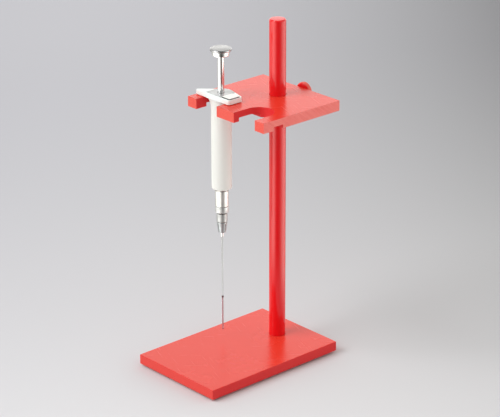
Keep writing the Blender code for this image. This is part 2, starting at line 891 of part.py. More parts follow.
def make_capillary(parts, glass, silicone, chrome):
    hole = CAPILLARY_RADIUS + GAP
    tubes = {
        "capillary": (CAPILLARY_BORE, CAPILLARY_RADIUS, CAPILLARY_TIP, CAPILLARY_TOP, glass),
        "grip_sleeve": (hole, SLEEVE_RADIUS, SPIGOT_BOTTOM + GAP, TUBE_BOTTOM - GAP, silicone),
        "tip_sleeve": (
            hole,
            TIP_SLEEVE_RADIUS,
            COLLET_BOTTOM - TIP_SLEEVE_SHOWS,
            SPIGOT_BOTTOM - GAP,
            chrome,
        ),
    }
    made = []
    for name, (inner, outer, bottom, top, material) in tubes.items():
        tube = turn(
            name,
            [(inner, top), (outer, top), (outer, bottom), (inner, bottom)],
            (0, 0, 0),
            parts,
            SMALL_ROUND,
            closed=True,
        )
        smooth(tube)
        finish(tube, material)
        made.append(tube)
    return made


# Plunger: it slides down the pipette's axis

def make_plunger(parts, chrome, grey, rubber):
    piston_radius = CYLINDER_RADIUS - GAP
    stem_top = PISTON_TOP + 2 * PISTON_STEM_RADIUS
    rod = turn(
        "plunger_rod",
        [
            (0, ROD_TOP),
            (ROD_RADIUS - GAP, ROD_TOP),
            (ROD_RADIUS, ROD_TOP - GAP),
            (ROD_RADIUS, stem_top + GAP),
            (PISTON_STEM_RADIUS, stem_top + GAP),
            (PISTON_STEM_RADIUS, PISTON_BOTTOM + GAP),
            (0, PISTON_BOTTOM + GAP),
        ],
        (0, 0, 0),
        parts,
        FINE_ROUND,
    )
    finish(rod, chrome)

    seal_top = PISTON_BOTTOM + PISTON_LENGTH / 2 + SEAL_LENGTH / 2
    seal_bottom = seal_top - SEAL_LENGTH
    groove = (PISTON_STEM_RADIUS + piston_radius) / 2
    stem_hole = PISTON_STEM_RADIUS + GAP
    piston = turn(
        "piston_head",
        [
            (stem_hole, stem_top),
            (groove, stem_top),
            (piston_radius, PISTON_TOP),
            (piston_radius, seal_top + GAP),
            (groove, seal_top + GAP),
            (groove, seal_bottom - GAP),
            (piston_radius, seal_bottom - GAP),
            (piston_radius, PISTON_BOTTOM),
            (stem_hole, PISTON_BOTTOM),
        ],
        (0, 0, 0),
        parts,
        FINE_ROUND,
        closed=True,
    )
    finish(piston, grey)

    seal_inner = groove + GAP
    thickness = (piston_radius - seal_inner) / 2
    middle = seal_bottom + SEAL_LENGTH / 2
    seal = turn(
        "piston_seal",
        [
            (seal_inner + thickness * (1 + x), middle + SEAL_LENGTH / 2 * z)
            for x, z in arc(0, 0, 1, 90, -225, 7)
        ],
        (0, 0, 0),
        parts,
        FINE_ROUND,
        closed=True,
    )
    finish(seal, rubber)

    bush_top = FLANGE_TOP - TOP_PLATE_THICKNESS - 2 * GAP
    bush = turn(
        "rod_bush",
        [
            (ROD_RADIUS + GAP, bush_top),
            (ROD_RADIUS + GAP + BUSH_WALL, bush_top),
            (ROD_RADIUS + GAP + BUSH_WALL, bush_top - BUSH_LENGTH),
            (ROD_RADIUS + GAP, bush_top - BUSH_LENGTH),
        ],
        (0, 0, 0),
        parts,
        FINE_ROUND,
        closed=True,
    )
    finish(bush, grey)

    bottom = BUTTON_BOTTOM
    top = bottom + BUTTON_THICKNESS
    inner = BUTTON_RADIUS - BUTTON_EDGE
    rim = [(inner + x, top - BUTTON_EDGE + y) for x, y in arc(0, 0, BUTTON_EDGE, 90, 0, 4)]
    bore = ROD_RADIUS + GAP
    button = turn(
        "plunger_button",
        [(0, top)]
        + rim
        + [
            (BUTTON_RADIUS, bottom + BUTTON_EDGE / 2),
            (BUTTON_RADIUS - BUTTON_EDGE / 2, bottom),
            (bore, bottom),
            (bore, ROD_TOP + GAP),
            (0, ROD_TOP + GAP),
        ],
        (0, 0, 0),
        parts,
    )
    finish(button, chrome)

    edge = 2 * GAP
    collar = turn(
        "button_collar",
        [
            (bore, COLLAR_DISC_TOP),
            (COLLAR_DISC_RADIUS - edge, COLLAR_DISC_TOP),
            (COLLAR_DISC_RADIUS, COLLAR_DISC_TOP - edge),
            (COLLAR_DISC_RADIUS, COLLAR_DISC_BOTTOM + edge),
            (COLLAR_DISC_RADIUS - edge, COLLAR_DISC_BOTTOM),
            (bore, COLLAR_DISC_BOTTOM),
        ],
        (0, 0, 0),
        parts,
        closed=True,
    )
    finish(collar, chrome)
    pieces = [rod, piston, seal, bush, button, collar]
    for piece in pieces:
        smooth(piece)
    return pieces


def main():
    clear_scene()
    bpy.context.scene.unit_settings.scale_length = 1.0
    parts = make_collection("capillary_pipette_stand")
    cutters = make_collection("cutters")

    red = make_material("red_plastic", (0.62, 0.015, 0.012), 0.28)
    white = make_material("white_plastic", (0.82, 0.81, 0.77), 0.35)
    grey = make_material("grey_plate", (0.55, 0.56, 0.56), 0.45)
    chrome = make_material("chrome", (0.80, 0.80, 0.80), 0.08, 1.0)
    satin = make_material("satin_metal", (0.60, 0.61, 0.62), 0.35, 1.0)
    steel = make_material("zinc_steel", (0.55, 0.55, 0.56), 0.35, 1.0)
    brass = make_material("brass", (0.70, 0.52, 0.22), 0.30, 1.0)
    rubber = make_material("black_rubber", (0.02, 0.02, 0.02), 0.80)
    silicone = make_material("silicone", (0.75, 0.75, 0.74), 0.60)
    glass = make_material("capillary_glass", (0.90, 0.95, 0.95), 0.05)

    make_base(parts, cutters, red)
    make_feet(parts, rubber)
    make_post(parts, cutters, red, steel)
    make_shelf(parts, cutters, red)
    make_clamp(parts, red, steel, brass)

    pieces = make_pipette_body(parts, cutters, white)
    pieces += make_flange_trim(parts, cutters, grey, white)
    pieces += make_tube(parts, chrome)
    pieces += make_collar(parts, satin)
    pieces += make_chuck(parts, cutters, satin, brass)
    pieces += make_capillary(parts, glass, silicone, chrome)
    pieces += make_plunger(parts, chrome, grey, rubber)

    axis = bpy.data.objects.new("pipette_axis", None)
    axis.location = (PIPETTE_X, PIPETTE_Y, 0)
    bpy.context.scene.collection.objects.link(axis)
    for piece in pieces:
        piece.parent = axis


main()
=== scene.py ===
from math import acos, atan2, cos, degrees, hypot, pi, radians, sin, sqrt, tan

import bmesh
import bpy
from mathutils import Matrix, Vector


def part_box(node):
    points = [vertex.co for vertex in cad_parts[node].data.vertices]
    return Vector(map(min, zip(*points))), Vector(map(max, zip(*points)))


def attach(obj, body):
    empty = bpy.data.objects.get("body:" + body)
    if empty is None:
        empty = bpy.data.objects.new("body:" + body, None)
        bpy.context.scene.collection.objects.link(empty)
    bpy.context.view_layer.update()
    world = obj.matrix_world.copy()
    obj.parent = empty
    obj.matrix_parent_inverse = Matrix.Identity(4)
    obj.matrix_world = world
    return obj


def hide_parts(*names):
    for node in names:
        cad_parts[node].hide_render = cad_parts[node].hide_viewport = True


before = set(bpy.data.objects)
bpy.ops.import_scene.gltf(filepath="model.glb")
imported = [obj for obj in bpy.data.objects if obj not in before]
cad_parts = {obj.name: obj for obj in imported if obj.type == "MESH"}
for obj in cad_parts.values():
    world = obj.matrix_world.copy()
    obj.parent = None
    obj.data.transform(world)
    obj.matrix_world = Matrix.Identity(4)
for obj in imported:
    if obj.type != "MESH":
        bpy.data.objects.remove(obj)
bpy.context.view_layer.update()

# Places read from the frame
baseLow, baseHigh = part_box("base_plate")
postLow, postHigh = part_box("post")
shelfLow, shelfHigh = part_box("shelf_plate")
knobLow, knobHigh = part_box("clamp_knob")
bodyLow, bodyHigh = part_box("pipette_body")
tubeLow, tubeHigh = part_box("cylinder_tube")
postX, postY = (postLow.x + postHigh.x) / 2, (postLow.y + postHigh.y) / 2
postRadius = (postHigh.x - postLow.x) / 2
pipeX, pipeY = (tubeLow.x + tubeHigh.x) / 2, (tubeLow.y + tubeHigh.y) / 2
pipeAxis = Vector((pipeX, pipeY, 0))
tubeRadius = (tubeHigh.x - tubeLow.x) / 2
clampZ = (knobLow.z + knobHigh.z) / 2
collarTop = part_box("collar_ring")[1].z
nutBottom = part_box("chuck_nut")[0].z


# Camera first, set where the photographer stood

cameraView = {
    "azimuth": 47.964,        # degrees round from the front, to the right
    "elevation": 21.765,
    "roll": -0.169,
    "distance": 1.9664,       # metres from the aim point
    "aimHeight": 0.150,
    "aimRight": 0.01069,      # the aim point's offset in the picture
    "aimUp": -0.00248,
    "lens": 159.9,            # mm on a 36 mm frame
}


def placeCamera(view):
    turn, lift, roll = (radians(view[k]) for k in ("azimuth", "elevation", "roll"))
    back = Vector((sin(turn) * cos(lift), -cos(turn) * cos(lift), sin(lift)))
    right = Vector((0, 0, 1)).cross(back).normalized()
    up = back.cross(right)
    right, up = cos(roll) * right + sin(roll) * up, cos(roll) * up - sin(roll) * right
    aim = Vector((0, (baseLow.y + baseHigh.y) / 2, view["aimHeight"]))
    aim += right * view["aimRight"] + up * view["aimUp"]
    data = bpy.data.cameras.new("camera")
    data.lens = view["lens"]
    data.sensor_width = 36
    data.clip_end = 50
    camera = bpy.data.objects.new("camera", data)
    camera.matrix_world = Matrix.LocRotScale(
        aim + back * view["distance"],
        Matrix((right, up, back)).transposed().to_quaternion(),
        None,
    )
    bpy.context.scene.collection.objects.link(camera)
    bpy.context.scene.camera = camera
    return right, back


viewRight, viewBack = placeCamera(cameraView)
floorRight = Vector((viewRight.x, viewRight.y, 0)).normalized()
floorAway = Vector((-viewBack.x, -viewBack.y, 0)).normalized()
print("camera set")


# Node maths: a socket that takes part in Python expressions

class Value:
    def __init__(self, tree, socket):
        self.tree = tree
        self.socket = socket

    def math(self, operation, *others, swap=False):
        terms = [self, *others]
        if swap:
            terms.reverse()
        node = self.tree.nodes.new("ShaderNodeMath")
        node.operation = operation
        for slot, term in zip(node.inputs, terms):
            if isinstance(term, Value):
                self.tree.links.new(term.socket, slot)
            else:
                slot.default_value = term
        return Value(self.tree, node.outputs[0])

    def __add__(self, other):
        return self.math("ADD", other)

    def __radd__(self, other):
        return self.math("ADD", other, swap=True)

    def __sub__(self, other):
        return self.math("SUBTRACT", other)

    def __rsub__(self, other):
        return self.math("SUBTRACT", other, swap=True)

    def __mul__(self, other):
        return self.math("MULTIPLY", other)

    def __rmul__(self, other):
        return self.math("MULTIPLY", other, swap=True)

    def __truediv__(self, other):
        return self.math("DIVIDE", other)

    def __pow__(self, other):
        return self.math("POWER", other)

    def __gt__(self, other):
        return self.math("GREATER_THAN", other)

    def __lt__(self, other):
        return self.math("LESS_THAN", other)

    def between(self, low, high):
        return self.math("MAXIMUM", low).math("MINIMUM", high)

    def limited(self):
        return self.between(0.0, 1.0)

    def ramp(self, low, high):
        return ((self - low) / (high - low)).limited()


class Nodes:
    def __init__(self, tree):
        self.tree = tree

    def node(self, kind, settings, sockets, out=0):
        made = self.tree.nodes.new(kind)
        for key, value in settings.items():
            setattr(made, key, value)
        for key, value in sockets.items():
            if isinstance(value, Value):
                self.tree.links.new(value.socket, made.inputs[key])
            else:
                made.inputs[key].default_value = value
        return Value(self.tree, made.outputs[out])


class Shading(Nodes):
    def coordinates(self, kind="Object"):
        return self.node("ShaderNodeTexCoord", {}, {}, kind)

    def place(self, scale=(1, 1, 1), turn=(0, 0, 0)):
        sockets = {"Vector": self.coordinates(), "Rotation": turn}
        turnedPlace = self.node("ShaderNodeMapping", {}, sockets)
        return self.node("ShaderNodeMapping", {}, {"Vector": turnedPlace, "Scale": scale})

    def part(self, vector, axis):
        return self.node("ShaderNodeSeparateXYZ", {}, {"Vector": vector}, axis)

    def facing(self, axis):
        return self.part(self.coordinates("Normal"), axis)

    def noise(self, scale, detail=3.0, stretch=(1, 1, 1), turn=(0, 0, 0)):
        sockets = {"Vector": self.place(stretch, turn), "Scale": scale, "Detail": detail}
        return self.node("ShaderNodeTexNoise", {}, sockets)

    def specks(self, scale, size):
        sockets = {"Vector": self.place(), "Scale": scale}
        cells = self.node("ShaderNodeTexVoronoi", {}, sockets, "Distance")
        return 1 - cells.ramp(size * 0.6, size)

    def mix(self, amount, first, second):
        made = self.tree.nodes.new("ShaderNodeMix")
        made.data_type = "RGBA"
        for key, value in (("Factor_Float", amount), ("A_Color", first), ("B_Color", second)):
            socket = next(s for s in made.inputs if s.identifier == key)
            if isinstance(value, Value):
                self.tree.links.new(value.socket, socket)
            elif key == "Factor_Float":
                socket.default_value = value
            else:
                socket.default_value = (*value, 1.0)
        return Value(self.tree, next(s for s in made.outputs if s.identifier == "Result_Color"))

    def scaled(self, colour, amount):
        sockets = {"Vector": colour, "Scale": amount}
        return self.node("ShaderNodeVectorMath", {"operation": "SCALE"}, sockets)

    def bump(self, height, depth, under=None):
        sockets = {"Height": height, "Strength": 1.0, "Distance": depth}
        if under is not None:
            sockets["Normal"] = under
        return self.node("ShaderNodeBump", {}, sockets)


class Finish(Shading):
    def __init__(self, name, **fixed):
        self.material = bpy.data.materials.new(name)
        self.material.use_nodes = True
        super().__init__(self.material.node_tree)
        self.shader = self.tree.nodes["Principled BSDF"]
        for socket, value in fixed.items():
            self.shader.inputs[socket.replace("_", " ")].default_value = value

    def feed(self, socket, value):
        self.tree.links.new(value.socket, self.shader.inputs[socket])

    def done(self):
        return self.material


# Red acrylic: polished sheet faces, frosted and sawn edges, round bar and moulded knob

redSettings = {
    "top": (0.765, 0.036, 0.018),
    "topWorn": (0.795, 0.052, 0.032),
    "bar": (0.830, 0.004, 0.008),
    "barWorn": (0.850, 0.014, 0.016),
    "wall": (0.720, 0.004, 0.006),
    "frosted": (0.870, 0.125, 0.086),
    "sawn": (1.000, 0.245, 0.210),
    "dust": (0.85, 0.62, 0.56),
    "gloss": 0.27,
    "edgeRoughness": 0.60,
    "edgeDepth": 0.0006,        # how far in from an edge plane its own finish reaches
    "square": 0.9,              # a face turned this far to the side or front counts as facing it
    "level": 0.95,              # and this far up or down as level
}


def redSheetFinish(name, low, high, sideTone, sideShare, frontShare):
    finish = Finish(name)
    cloud = finish.noise(38, 4)
    scratches = finish.noise(900, 2, stretch=(0.03, 1, 1), turn=(0, 0, 0.35)).ramp(0.66, 0.72)
    crossed = finish.noise(800, 2, stretch=(0.04, 1, 1), turn=(0, 0, -0.9)).ramp(0.68, 0.74)
    dust = finish.specks(900, 0.10) * finish.noise(60, 1).ramp(0.5, 0.7)
    marks = (scratches + crossed).limited()

    where = finish.coordinates()
    half = (high - low) / 2 - Vector((1, 1, 1)) * redSettings["edgeDepth"]
    middle = (high + low) / 2
    onSide = (finish.part(where, "X") - middle.x).math("ABSOLUTE") > half.x
    onSide = onSide * (finish.facing("X").math("ABSOLUTE") > redSettings["square"])
    onFront = (finish.part(where, "Y") - middle.y).math("ABSOLUTE") > half.y
    onFront = onFront * (finish.facing("Y").math("ABSOLUTE") > redSettings["square"])

    strokes = finish.noise(700, 4, stretch=(1, 0.06, 1), turn=(0.75, 0, 0))
    coarse = finish.noise(240, 3, stretch=(1, 0.10, 1), turn=(0.75, 0, 0))
    hairs = finish.noise(1300, 2, stretch=(1, 0.03, 1), turn=(0.62, 0, 0)).ramp(0.60, 0.70)
    streaks = 0.60 + 0.25 * strokes.ramp(0.30, 0.72) + 0.15 * coarse.ramp(0.35, 0.7) + 0.30 * hairs
    grain = 0.72 + 0.28 * finish.noise(1100, 3).ramp(0.35, 0.65)

    worn = cloud.ramp(0.35, 0.75) * 0.25 + marks * 0.006
    polished = finish.mix(worn, redSettings["top"], redSettings["topWorn"])
    dusted = finish.mix(dust * 0.04, polished, redSettings["dust"])
    level = finish.facing("Z").math("ABSOLUTE") > redSettings["level"]
    faced = finish.mix(level, redSettings["wall"], dusted)
    side = finish.mix(streaks.limited(), redSettings["wall"], sideTone)
    sided = finish.mix(onSide * sideShare, faced, side)
    front = finish.mix(grain, redSettings["wall"], redSettings["frosted"])
    finish.feed("Base Color", finish.mix(onFront * frontShare, sided, front))

    edges = (onSide * sideShare + onFront * frontShare + (1 - level)).limited()
    gloss = redSettings["gloss"] + 0.005 * cloud.ramp(0.35, 0.7) + 0.006 * marks + 0.03 * dust
    finish.feed("Roughness", gloss * (1 - edges) + edges * redSettings["edgeRoughness"])
    fine = finish.bump(marks, 0.0000002)
    deep = (strokes + coarse * 0.8 + hairs * 0.5) * onSide * sideShare
    finish.feed("Normal", finish.bump(deep, 0.00006, fine))
    return finish.done()


def redBarFinish():
    finish = Finish("redBar")
    lengthways = finish.noise(500, 3, stretch=(1, 1, 0.02))
    cloud = finish.noise(45, 4, stretch=(1, 1, 0.4))
    # the shelf's clamp leaves faint rubbing marks up and down the bar
    rub = finish.noise(700, 2, stretch=(1, 1, 0.03)).ramp(0.64, 0.72)
    worn = cloud.ramp(0.4, 0.8) * 0.4 + rub * 0.15
    finish.feed("Base Color", finish.mix(worn, redSettings["bar"], redSettings["barWorn"]))
    finish.feed("Roughness", 0.14 + 0.04 * cloud.ramp(0.3, 0.7) + 0.06 * rub)
    finish.feed("Normal", finish.bump(lengthways + rub * 0.5, 0.000002))
    return finish.done()


def redKnobFinish():
    finish = Finish("redKnob")
    grain = finish.noise(2600, 2)
    cloud = finish.noise(120, 3)
    # the rim, which faces sideways, is paler and rougher than the two faces
    rim = 1 - finish.facing("Y").math("ABSOLUTE").ramp(0.35, 0.75)
    face = finish.mix(cloud.ramp(0.3, 0.8) * 0.6, redSettings["bar"], redSettings["barWorn"])
    finish.feed("Base Color", finish.mix(rim * 0.95, face, redSettings["frosted"]))
    finish.feed("Roughness", 0.26 + 0.10 * cloud.ramp(0.35, 0.7) + 0.25 * rim)
    finish.feed("Normal", finish.bump(grain, 0.00001))
    return finish.done()


# Pipette mouldings and metals

pipetteTones = {
    # the flange's colour is painted light: above a height the white is painted brighter and less pink than
    # the barrel's, offsetting the red light bounced from the shelf
    "flange": (0.93, 1.00, 0.98),
    "paintedLightDepth": 0.0049,          # down from the flange's top
    # the tab's sideways faces are painted dark grey: painted shade for the seam round the inlaid tab
    "paintedSeamShade": (0.16, 0.16, 0.155),    # the seam round an inlaid piece stays in its own shadow
    "paintedShadeTilt": 0.55,               # a face that looks up less than this is part of the seam
    "groove": (0.01, 0.01, 0.01),
}
# from, to and how dark: painted shade, near-black bands painted on the neck for the shadowed groove under
# the collar ring and a fine shadow line below the barrel
neckShadows = [
    (tubeLow.z - 0.001, collarTop, 1.0),
    (bodyLow.z - 0.0018, bodyLow.z - 0.0010, 0.75),
]


def whiteFinish(name, tone, warm, paintedSideShade=False, paintedLightAbove=None):
    finish = Finish(name, Specular_IOR_Level=0.35)
    grain = finish.noise(3200, 2)
    cloud = finish.noise(55, 4, stretch=(1, 1, 0.3))
    handled = finish.noise(26, 3).ramp(0.45, 0.75)
    colour = finish.mix(cloud.ramp(0.3, 0.8) * 0.5 + handled * 0.2, tone, warm)
    # painted light: above this height, on the flange, the white is painted brighter and less pink
    if paintedLightAbove is not None:
        height = finish.part(finish.coordinates(), "Z")
        colour = finish.mix(height > paintedLightAbove, colour, pipetteTones["flange"])
    # painted shade: faces that look up too little, the tab's sides, are painted dark grey
    if paintedSideShade:
        paintedSeamShade = finish.facing("Z") < pipetteTones["paintedShadeTilt"]
        colour = finish.mix(paintedSeamShade, colour, pipetteTones["paintedSeamShade"])
    finish.feed("Base Color", colour)
    finish.feed("Roughness", 0.40 + 0.10 * handled + 0.05 * cloud)
    finish.feed("Normal", finish.bump(grain, 0.000008))
    return finish.done()


def metalFinish(name, tone, roughness, lines=0.0000003, along=(1, 1, 1), dark=()):
    finish = Finish(name, Metallic=1.0)
    turning = finish.noise(1500, 2, stretch=along)
    cloud = finish.noise(160, 3)
    marks = finish.noise(1400, 2, stretch=(1, 1, 0.08), turn=(0.4, 0, 0)).ramp(0.68, 0.74)
    dull = tuple(channel * 0.86 for channel in tone)
    colour = finish.mix(cloud.ramp(0.4, 0.8) * 0.4 + marks * 0.3, tone, dull)
    # each band is painted shade, mixed towards a near-black colour
    for low, high, depth in dark:
        height = finish.part(finish.coordinates(), "Z")
        band = (height > low) * (height < high)
        colour = finish.mix(band * depth, colour, pipetteTones["groove"])
    finish.feed("Base Color", colour)
    finish.feed("Roughness", roughness * (0.8 + 0.5 * cloud.ramp(0.3, 0.7)) + 0.04 * marks)
    finish.feed("Normal", finish.bump(turning, lines))
    return finish.done()


def rubberFinish(name, tone, roughness):
    finish = Finish(name)
    grain = finish.noise(1800, 3)
    dust = finish.noise(140, 4).ramp(0.52, 0.75)
    pale = tuple(channel * 0.6 + 0.16 for channel in tone)
    finish.feed("Base Color", finish.mix(dust * 0.35, tone, pale))
    finish.feed("Roughness", roughness + 0.1 * grain)
    finish.feed("Normal", finish.bump(grain, 0.00003))
    return finish.done()


def glassFinish():
    finish = Finish("drawnGlass", Transmission_Weight=1.0, IOR=1.20, Roughness=0.02, Alpha=0.22)
    streaks = finish.noise(1500, 2, stretch=(1, 1, 0.01))
    tone = finish.mix(streaks.ramp(0.4, 0.8) * 0.2, (0.97, 0.98, 0.98), (0.90, 0.94, 0.94))
    finish.feed("Base Color", tone)
    finish.feed("Normal", finish.bump(streaks, 0.000001))
    return finish.done()


def tintFinish(name, tone, edge, roughness):
    finish = Finish(name, Roughness=roughness)
    cloud = finish.noise(900, 3)
    finish.feed("Base Color", finish.mix(cloud.ramp(0.3, 0.7), tone, edge))
    finish.feed("Normal", finish.bump(cloud, 0.000002))
    return finish.done()


finishes = {
    "baseSheet": redSheetFinish(
        "redBaseSheet", baseLow, baseHigh, redSettings["frosted"], sideShare=0.08, frontShare=0.45
    ),
    "shelfSheet": redSheetFinish(
        "redShelfSheet", shelfLow, shelfHigh, redSettings["sawn"], sideShare=1.0, frontShare=0.9
    ),
    "bar": redBarFinish(),
    "knob": redKnobFinish(),
    "white": whiteFinish(
        "whiteMoulding", (0.90, 0.915, 0.87), (0.85, 0.86, 0.80),
        paintedLightAbove=bodyHigh.z - pipetteTones["paintedLightDepth"],
    ),
    "tabWhite": whiteFinish("whiteTab", (0.95, 0.95, 0.93), (0.91, 0.91, 0.88), paintedSideShade=True),
    "greyPlate": metalFinish("greyPlate", (0.62, 0.63, 0.64), 0.38, 0.000004, (0.1, 1, 1)),
    "greyPlastic": whiteFinish("greyMoulding", (0.45, 0.46, 0.47), (0.40, 0.41, 0.42)),
    "polished": metalFinish("polishedMetal", (0.80, 0.80, 0.80), 0.20),
    "neck": metalFinish("neckMetal", (0.78, 0.78, 0.76), 0.42, dark=neckShadows),
    "button": metalFinish("buttonMetal", (0.40, 0.40, 0.41), 0.26, 0.000002),
    "turned": metalFinish("turnedMetal", (0.50, 0.51, 0.51), 0.50, 0.000002, (1, 1, 9)),
    "satin": metalFinish("satinMetal", (0.62, 0.63, 0.63), 0.55, 0.000002),
    "jaws": metalFinish("jawMetal", (0.45, 0.48, 0.49), 0.42, 0.000002),
    "zinc": metalFinish("zincSteel", (0.66, 0.66, 0.67), 0.30, 0.000003),
    "brass": metalFinish("turnedBrass", (0.80, 0.62, 0.30), 0.28, 0.000004, (1, 1, 9)),
    "rubber": rubberFinish("blackRubber", (0.018, 0.018, 0.018), 0.72),
    "silicone": rubberFinish("paleSilicone", (0.66, 0.66, 0.65), 0.55),
    "glass": glassFinish(),
    "sample": tintFinish("sampleColumn", (0.42, 0.14, 0.17), (0.48, 0.19, 0.22), 0.20),
    "ring": tintFinish("ringInk", (0.10, 0.02, 0.03), (0.14, 0.04, 0.05), 0.5),
}
print("finishes made:", len(finishes))


def refinish(node, finish):
    # gives a node that keeps its CAD shape a finish from here
    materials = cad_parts[node].data.materials
    materials.clear()
    materials.append(finishes[finish])


# Mesh helpers

sharpAngle = radians(32)        # an edge that turns more than this stays crisp
bevelAngle = radians(35)
through = 0.001                 # how far a cutting tool stands out of the face it opens


def roundBox(node):
    # the corners of a round node's box, and its radius
    low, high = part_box(node)
    return low, high, (high.x - low.x) / 2


def arcPoints(middleX, middleY, radius, start, end, steps):
    turns = (radians(start + (end - start) * i / steps) for i in range(steps + 1))
    return [(middleX + radius * cos(a), middleY + radius * sin(a)) for a in turns]


def rectangle(left, near, right, far):
    return [(left, near), (right, near), (right, far), (left, far)]


def softened(points, closed=True, steps=5):
    # each point is (x, y) or (x, y, corner radius)
    result = []
    count = len(points)
    for i, point in enumerate(points):
        corner = Vector(point[:2])
        radius = point[2] if len(point) > 2 else 0
        if radius == 0 or (not closed and i in (0, count - 1)):
            result.append(tuple(corner))
            continue
        before = (Vector(points[i - 1][:2]) - corner).normalized()
        after = (Vector(points[(i + 1) % count][:2]) - corner).normalized()
        half = before.angle(after) / 2
        reach = radius / sin(half)
        middle = corner + (before + after).normalized() * reach
        run = sqrt(reach ** 2 - radius ** 2)
        first, last = corner + before * run - middle, corner + after * run - middle
        sweep = first.angle_signed(last)
        begin = atan2(first.y, first.x)
        for k in range(steps + 1):
            angle = begin - sweep * k / steps
            result.append((middle.x + radius * cos(angle), middle.y + radius * sin(angle)))
    return result


def ringProfile(inner, outer, low, high, edge):
    return softened([(inner, high.z), (outer, high.z, edge), (outer, low.z, edge), (inner, low.z)])


def shadeSmooth(mesh):
    mesh.shade_smooth()
    mesh.set_sharp_from_angle(angle=sharpAngle)


def newPiece(name, mesh, finish):
    piece = bpy.data.objects.new(name, mesh)
    bpy.context.scene.collection.objects.link(piece)
    mesh.materials.append(finishes[finish])
    shadeSmooth(mesh)
    return piece


def turnedMesh(name, profile, middle, along="Z", closed=False, sides=144):
    form = bmesh.new()
    rings = []
    for radius, height in profile:
        if radius < 1e-7:
            rings.append([form.verts.new((0, 0, height))])
            continue
        turns = (2 * pi * i / sides for i in range(sides))
        rings.append([form.verts.new((radius * cos(a), radius * sin(a), height)) for a in turns])
    pairs = list(zip(rings, rings[1:]))
    if closed:
        pairs.append((rings[-1], rings[0]))
    for above, below in pairs:
        for i in range(sides):
            corners = [
                above[i % len(above)],
                above[(i + 1) % len(above)],
                below[(i + 1) % len(below)],
                below[i % len(below)],
            ]
            corners = list(dict.fromkeys(corners))
            if len(corners) > 2:
                form.faces.new(corners)
    if along == "Y":
        form.transform(Matrix.Rotation(-pi / 2, 4, "X"))
    form.transform(Matrix.Translation(middle))
    bmesh.ops.recalc_face_normals(form, faces=form.faces)
    mesh = bpy.data.meshes.new(name)
    form.to_mesh(mesh)
    form.free()
    return mesh


def turned(name, finish, profile, middle, along="Z", closed=False, sides=144):
    return newPiece(name, turnedMesh(name, profile, middle, along, closed, sides), finish)


def flatMesh(name, outlines, low, high):
    curve = bpy.data.curves.new(name, "CURVE")
    curve.dimensions = "2D"
    curve.fill_mode = "BOTH"
    curve.extrude = (high - low) / 2
    for outline in outlines:
        spline = curve.splines.new("POLY")
        spline.points.add(len(outline) - 1)
        for point, (x, y) in zip(spline.points, outline):
            point.co = (x, y, 0, 1)
        spline.use_cyclic_u = True
    sheet = bpy.data.objects.new(name, curve)
    bpy.context.scene.collection.objects.link(sheet)
    mesh = evaluatedMesh(sheet)
    bpy.data.objects.remove(sheet, do_unlink=True)
    form = bmesh.new()
    form.from_mesh(mesh)
    bmesh.ops.remove_doubles(form, verts=form.verts, dist=1e-6)
    bmesh.ops.dissolve_limit(form, angle_limit=radians(1), verts=form.verts, edges=form.edges)
    bmesh.ops.recalc_face_normals(form, faces=form.faces)
    form.transform(Matrix.Translation((0, 0, (low + high) / 2)))
    form.to_mesh(mesh)
    form.free()
    return mesh


def evaluatedMesh(piece):
    bpy.context.view_layer.update()
    graph = bpy.context.evaluated_depsgraph_get()
    return bpy.data.meshes.new_from_object(piece.evaluated_get(graph))


def baked(piece):
    # turns the piece's modifiers into plain mesh
    mesh = evaluatedMesh(piece)
    piece.modifiers.clear()
    piece.data = mesh
    return piece


def settle(piece):
    shadeSmooth(baked(piece).data)
    return piece


def squared(piece):
    # weighs the shading by face area, so that a flat face stays flat beside its rounded edge
    piece.modifiers.new("weigh", "WEIGHTED_NORMAL").keep_sharp = True
    return baked(piece)


def bevelled(piece, width, segments=3):
    edges = piece.modifiers.new("edges", "BEVEL")
    edges.width = width
    edges.segments = segments
    edges.limit_method = "ANGLE"
    edges.angle_limit = bevelAngle
    return settle(piece)


def combined(piece, meshes, operation):
    tools = []
    for mesh in meshes:
        tool = bpy.data.objects.new("tool", mesh)
        bpy.context.scene.collection.objects.link(tool)
        step = piece.modifiers.new("step", "BOOLEAN")
        step.operation = operation
        step.object = tool
        tools.append(tool)
    settle(piece)
    for tool in tools:
        bpy.data.objects.remove(tool, do_unlink=True)
    return piece


def cutAway(piece, meshes):
    return squared(combined(piece, meshes, "DIFFERENCE"))


def fit(piece, body, slot, *nodes):
    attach(piece, body)
    if nodes:
        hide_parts(*nodes)


def fitTurned(name, finish, profile, body, slot, *nodes, closed=True, sides=144):
    # a turned piece on the pipette's axis
    fit(turned(name, finish, profile, pipeAxis, closed=closed, sides=sides), body, slot, *nodes)


# Base plate and feet

baseSettings = {
    "edge": 0.0004,
    "clearance": 0.0003,
    "socketDepth": 0.0035,
    "shank": 0.0030,
    "headRadius": 0.0055,
    "footTopEdge": 0.0002,
    "footEdge": 0.0006,
    "footRing": 0.0030,
    "footRingDepth": 0.0004,
}


def makeBase(size):
    corners = rectangle(baseLow.x, baseLow.y, baseHigh.x, baseHigh.y)
    mesh = flatMesh("basePlate", [corners], baseLow.z, baseHigh.z)
    plate = bevelled(newPiece("basePlate", mesh, "baseSheet"), size["edge"])
    gap = size["clearance"]
    socket, floor = postRadius + gap, baseHigh.z - size["socketDepth"]
    shank, head = size["shank"] + gap, size["headRadius"] + gap
    hole = [
        (0, baseHigh.z + gap), (socket, baseHigh.z + gap), (socket, floor), (shank, floor),
        (shank, baseLow.z + head - shank + gap), (head, baseLow.z + gap),
        (head, baseLow.z - gap), (0, baseLow.z - gap),
    ]
    cutAway(plate, [turnedMesh("baseHole", hole, (postX, postY, 0))])
    fit(plate, "stand", "red_plastic", "base_plate")


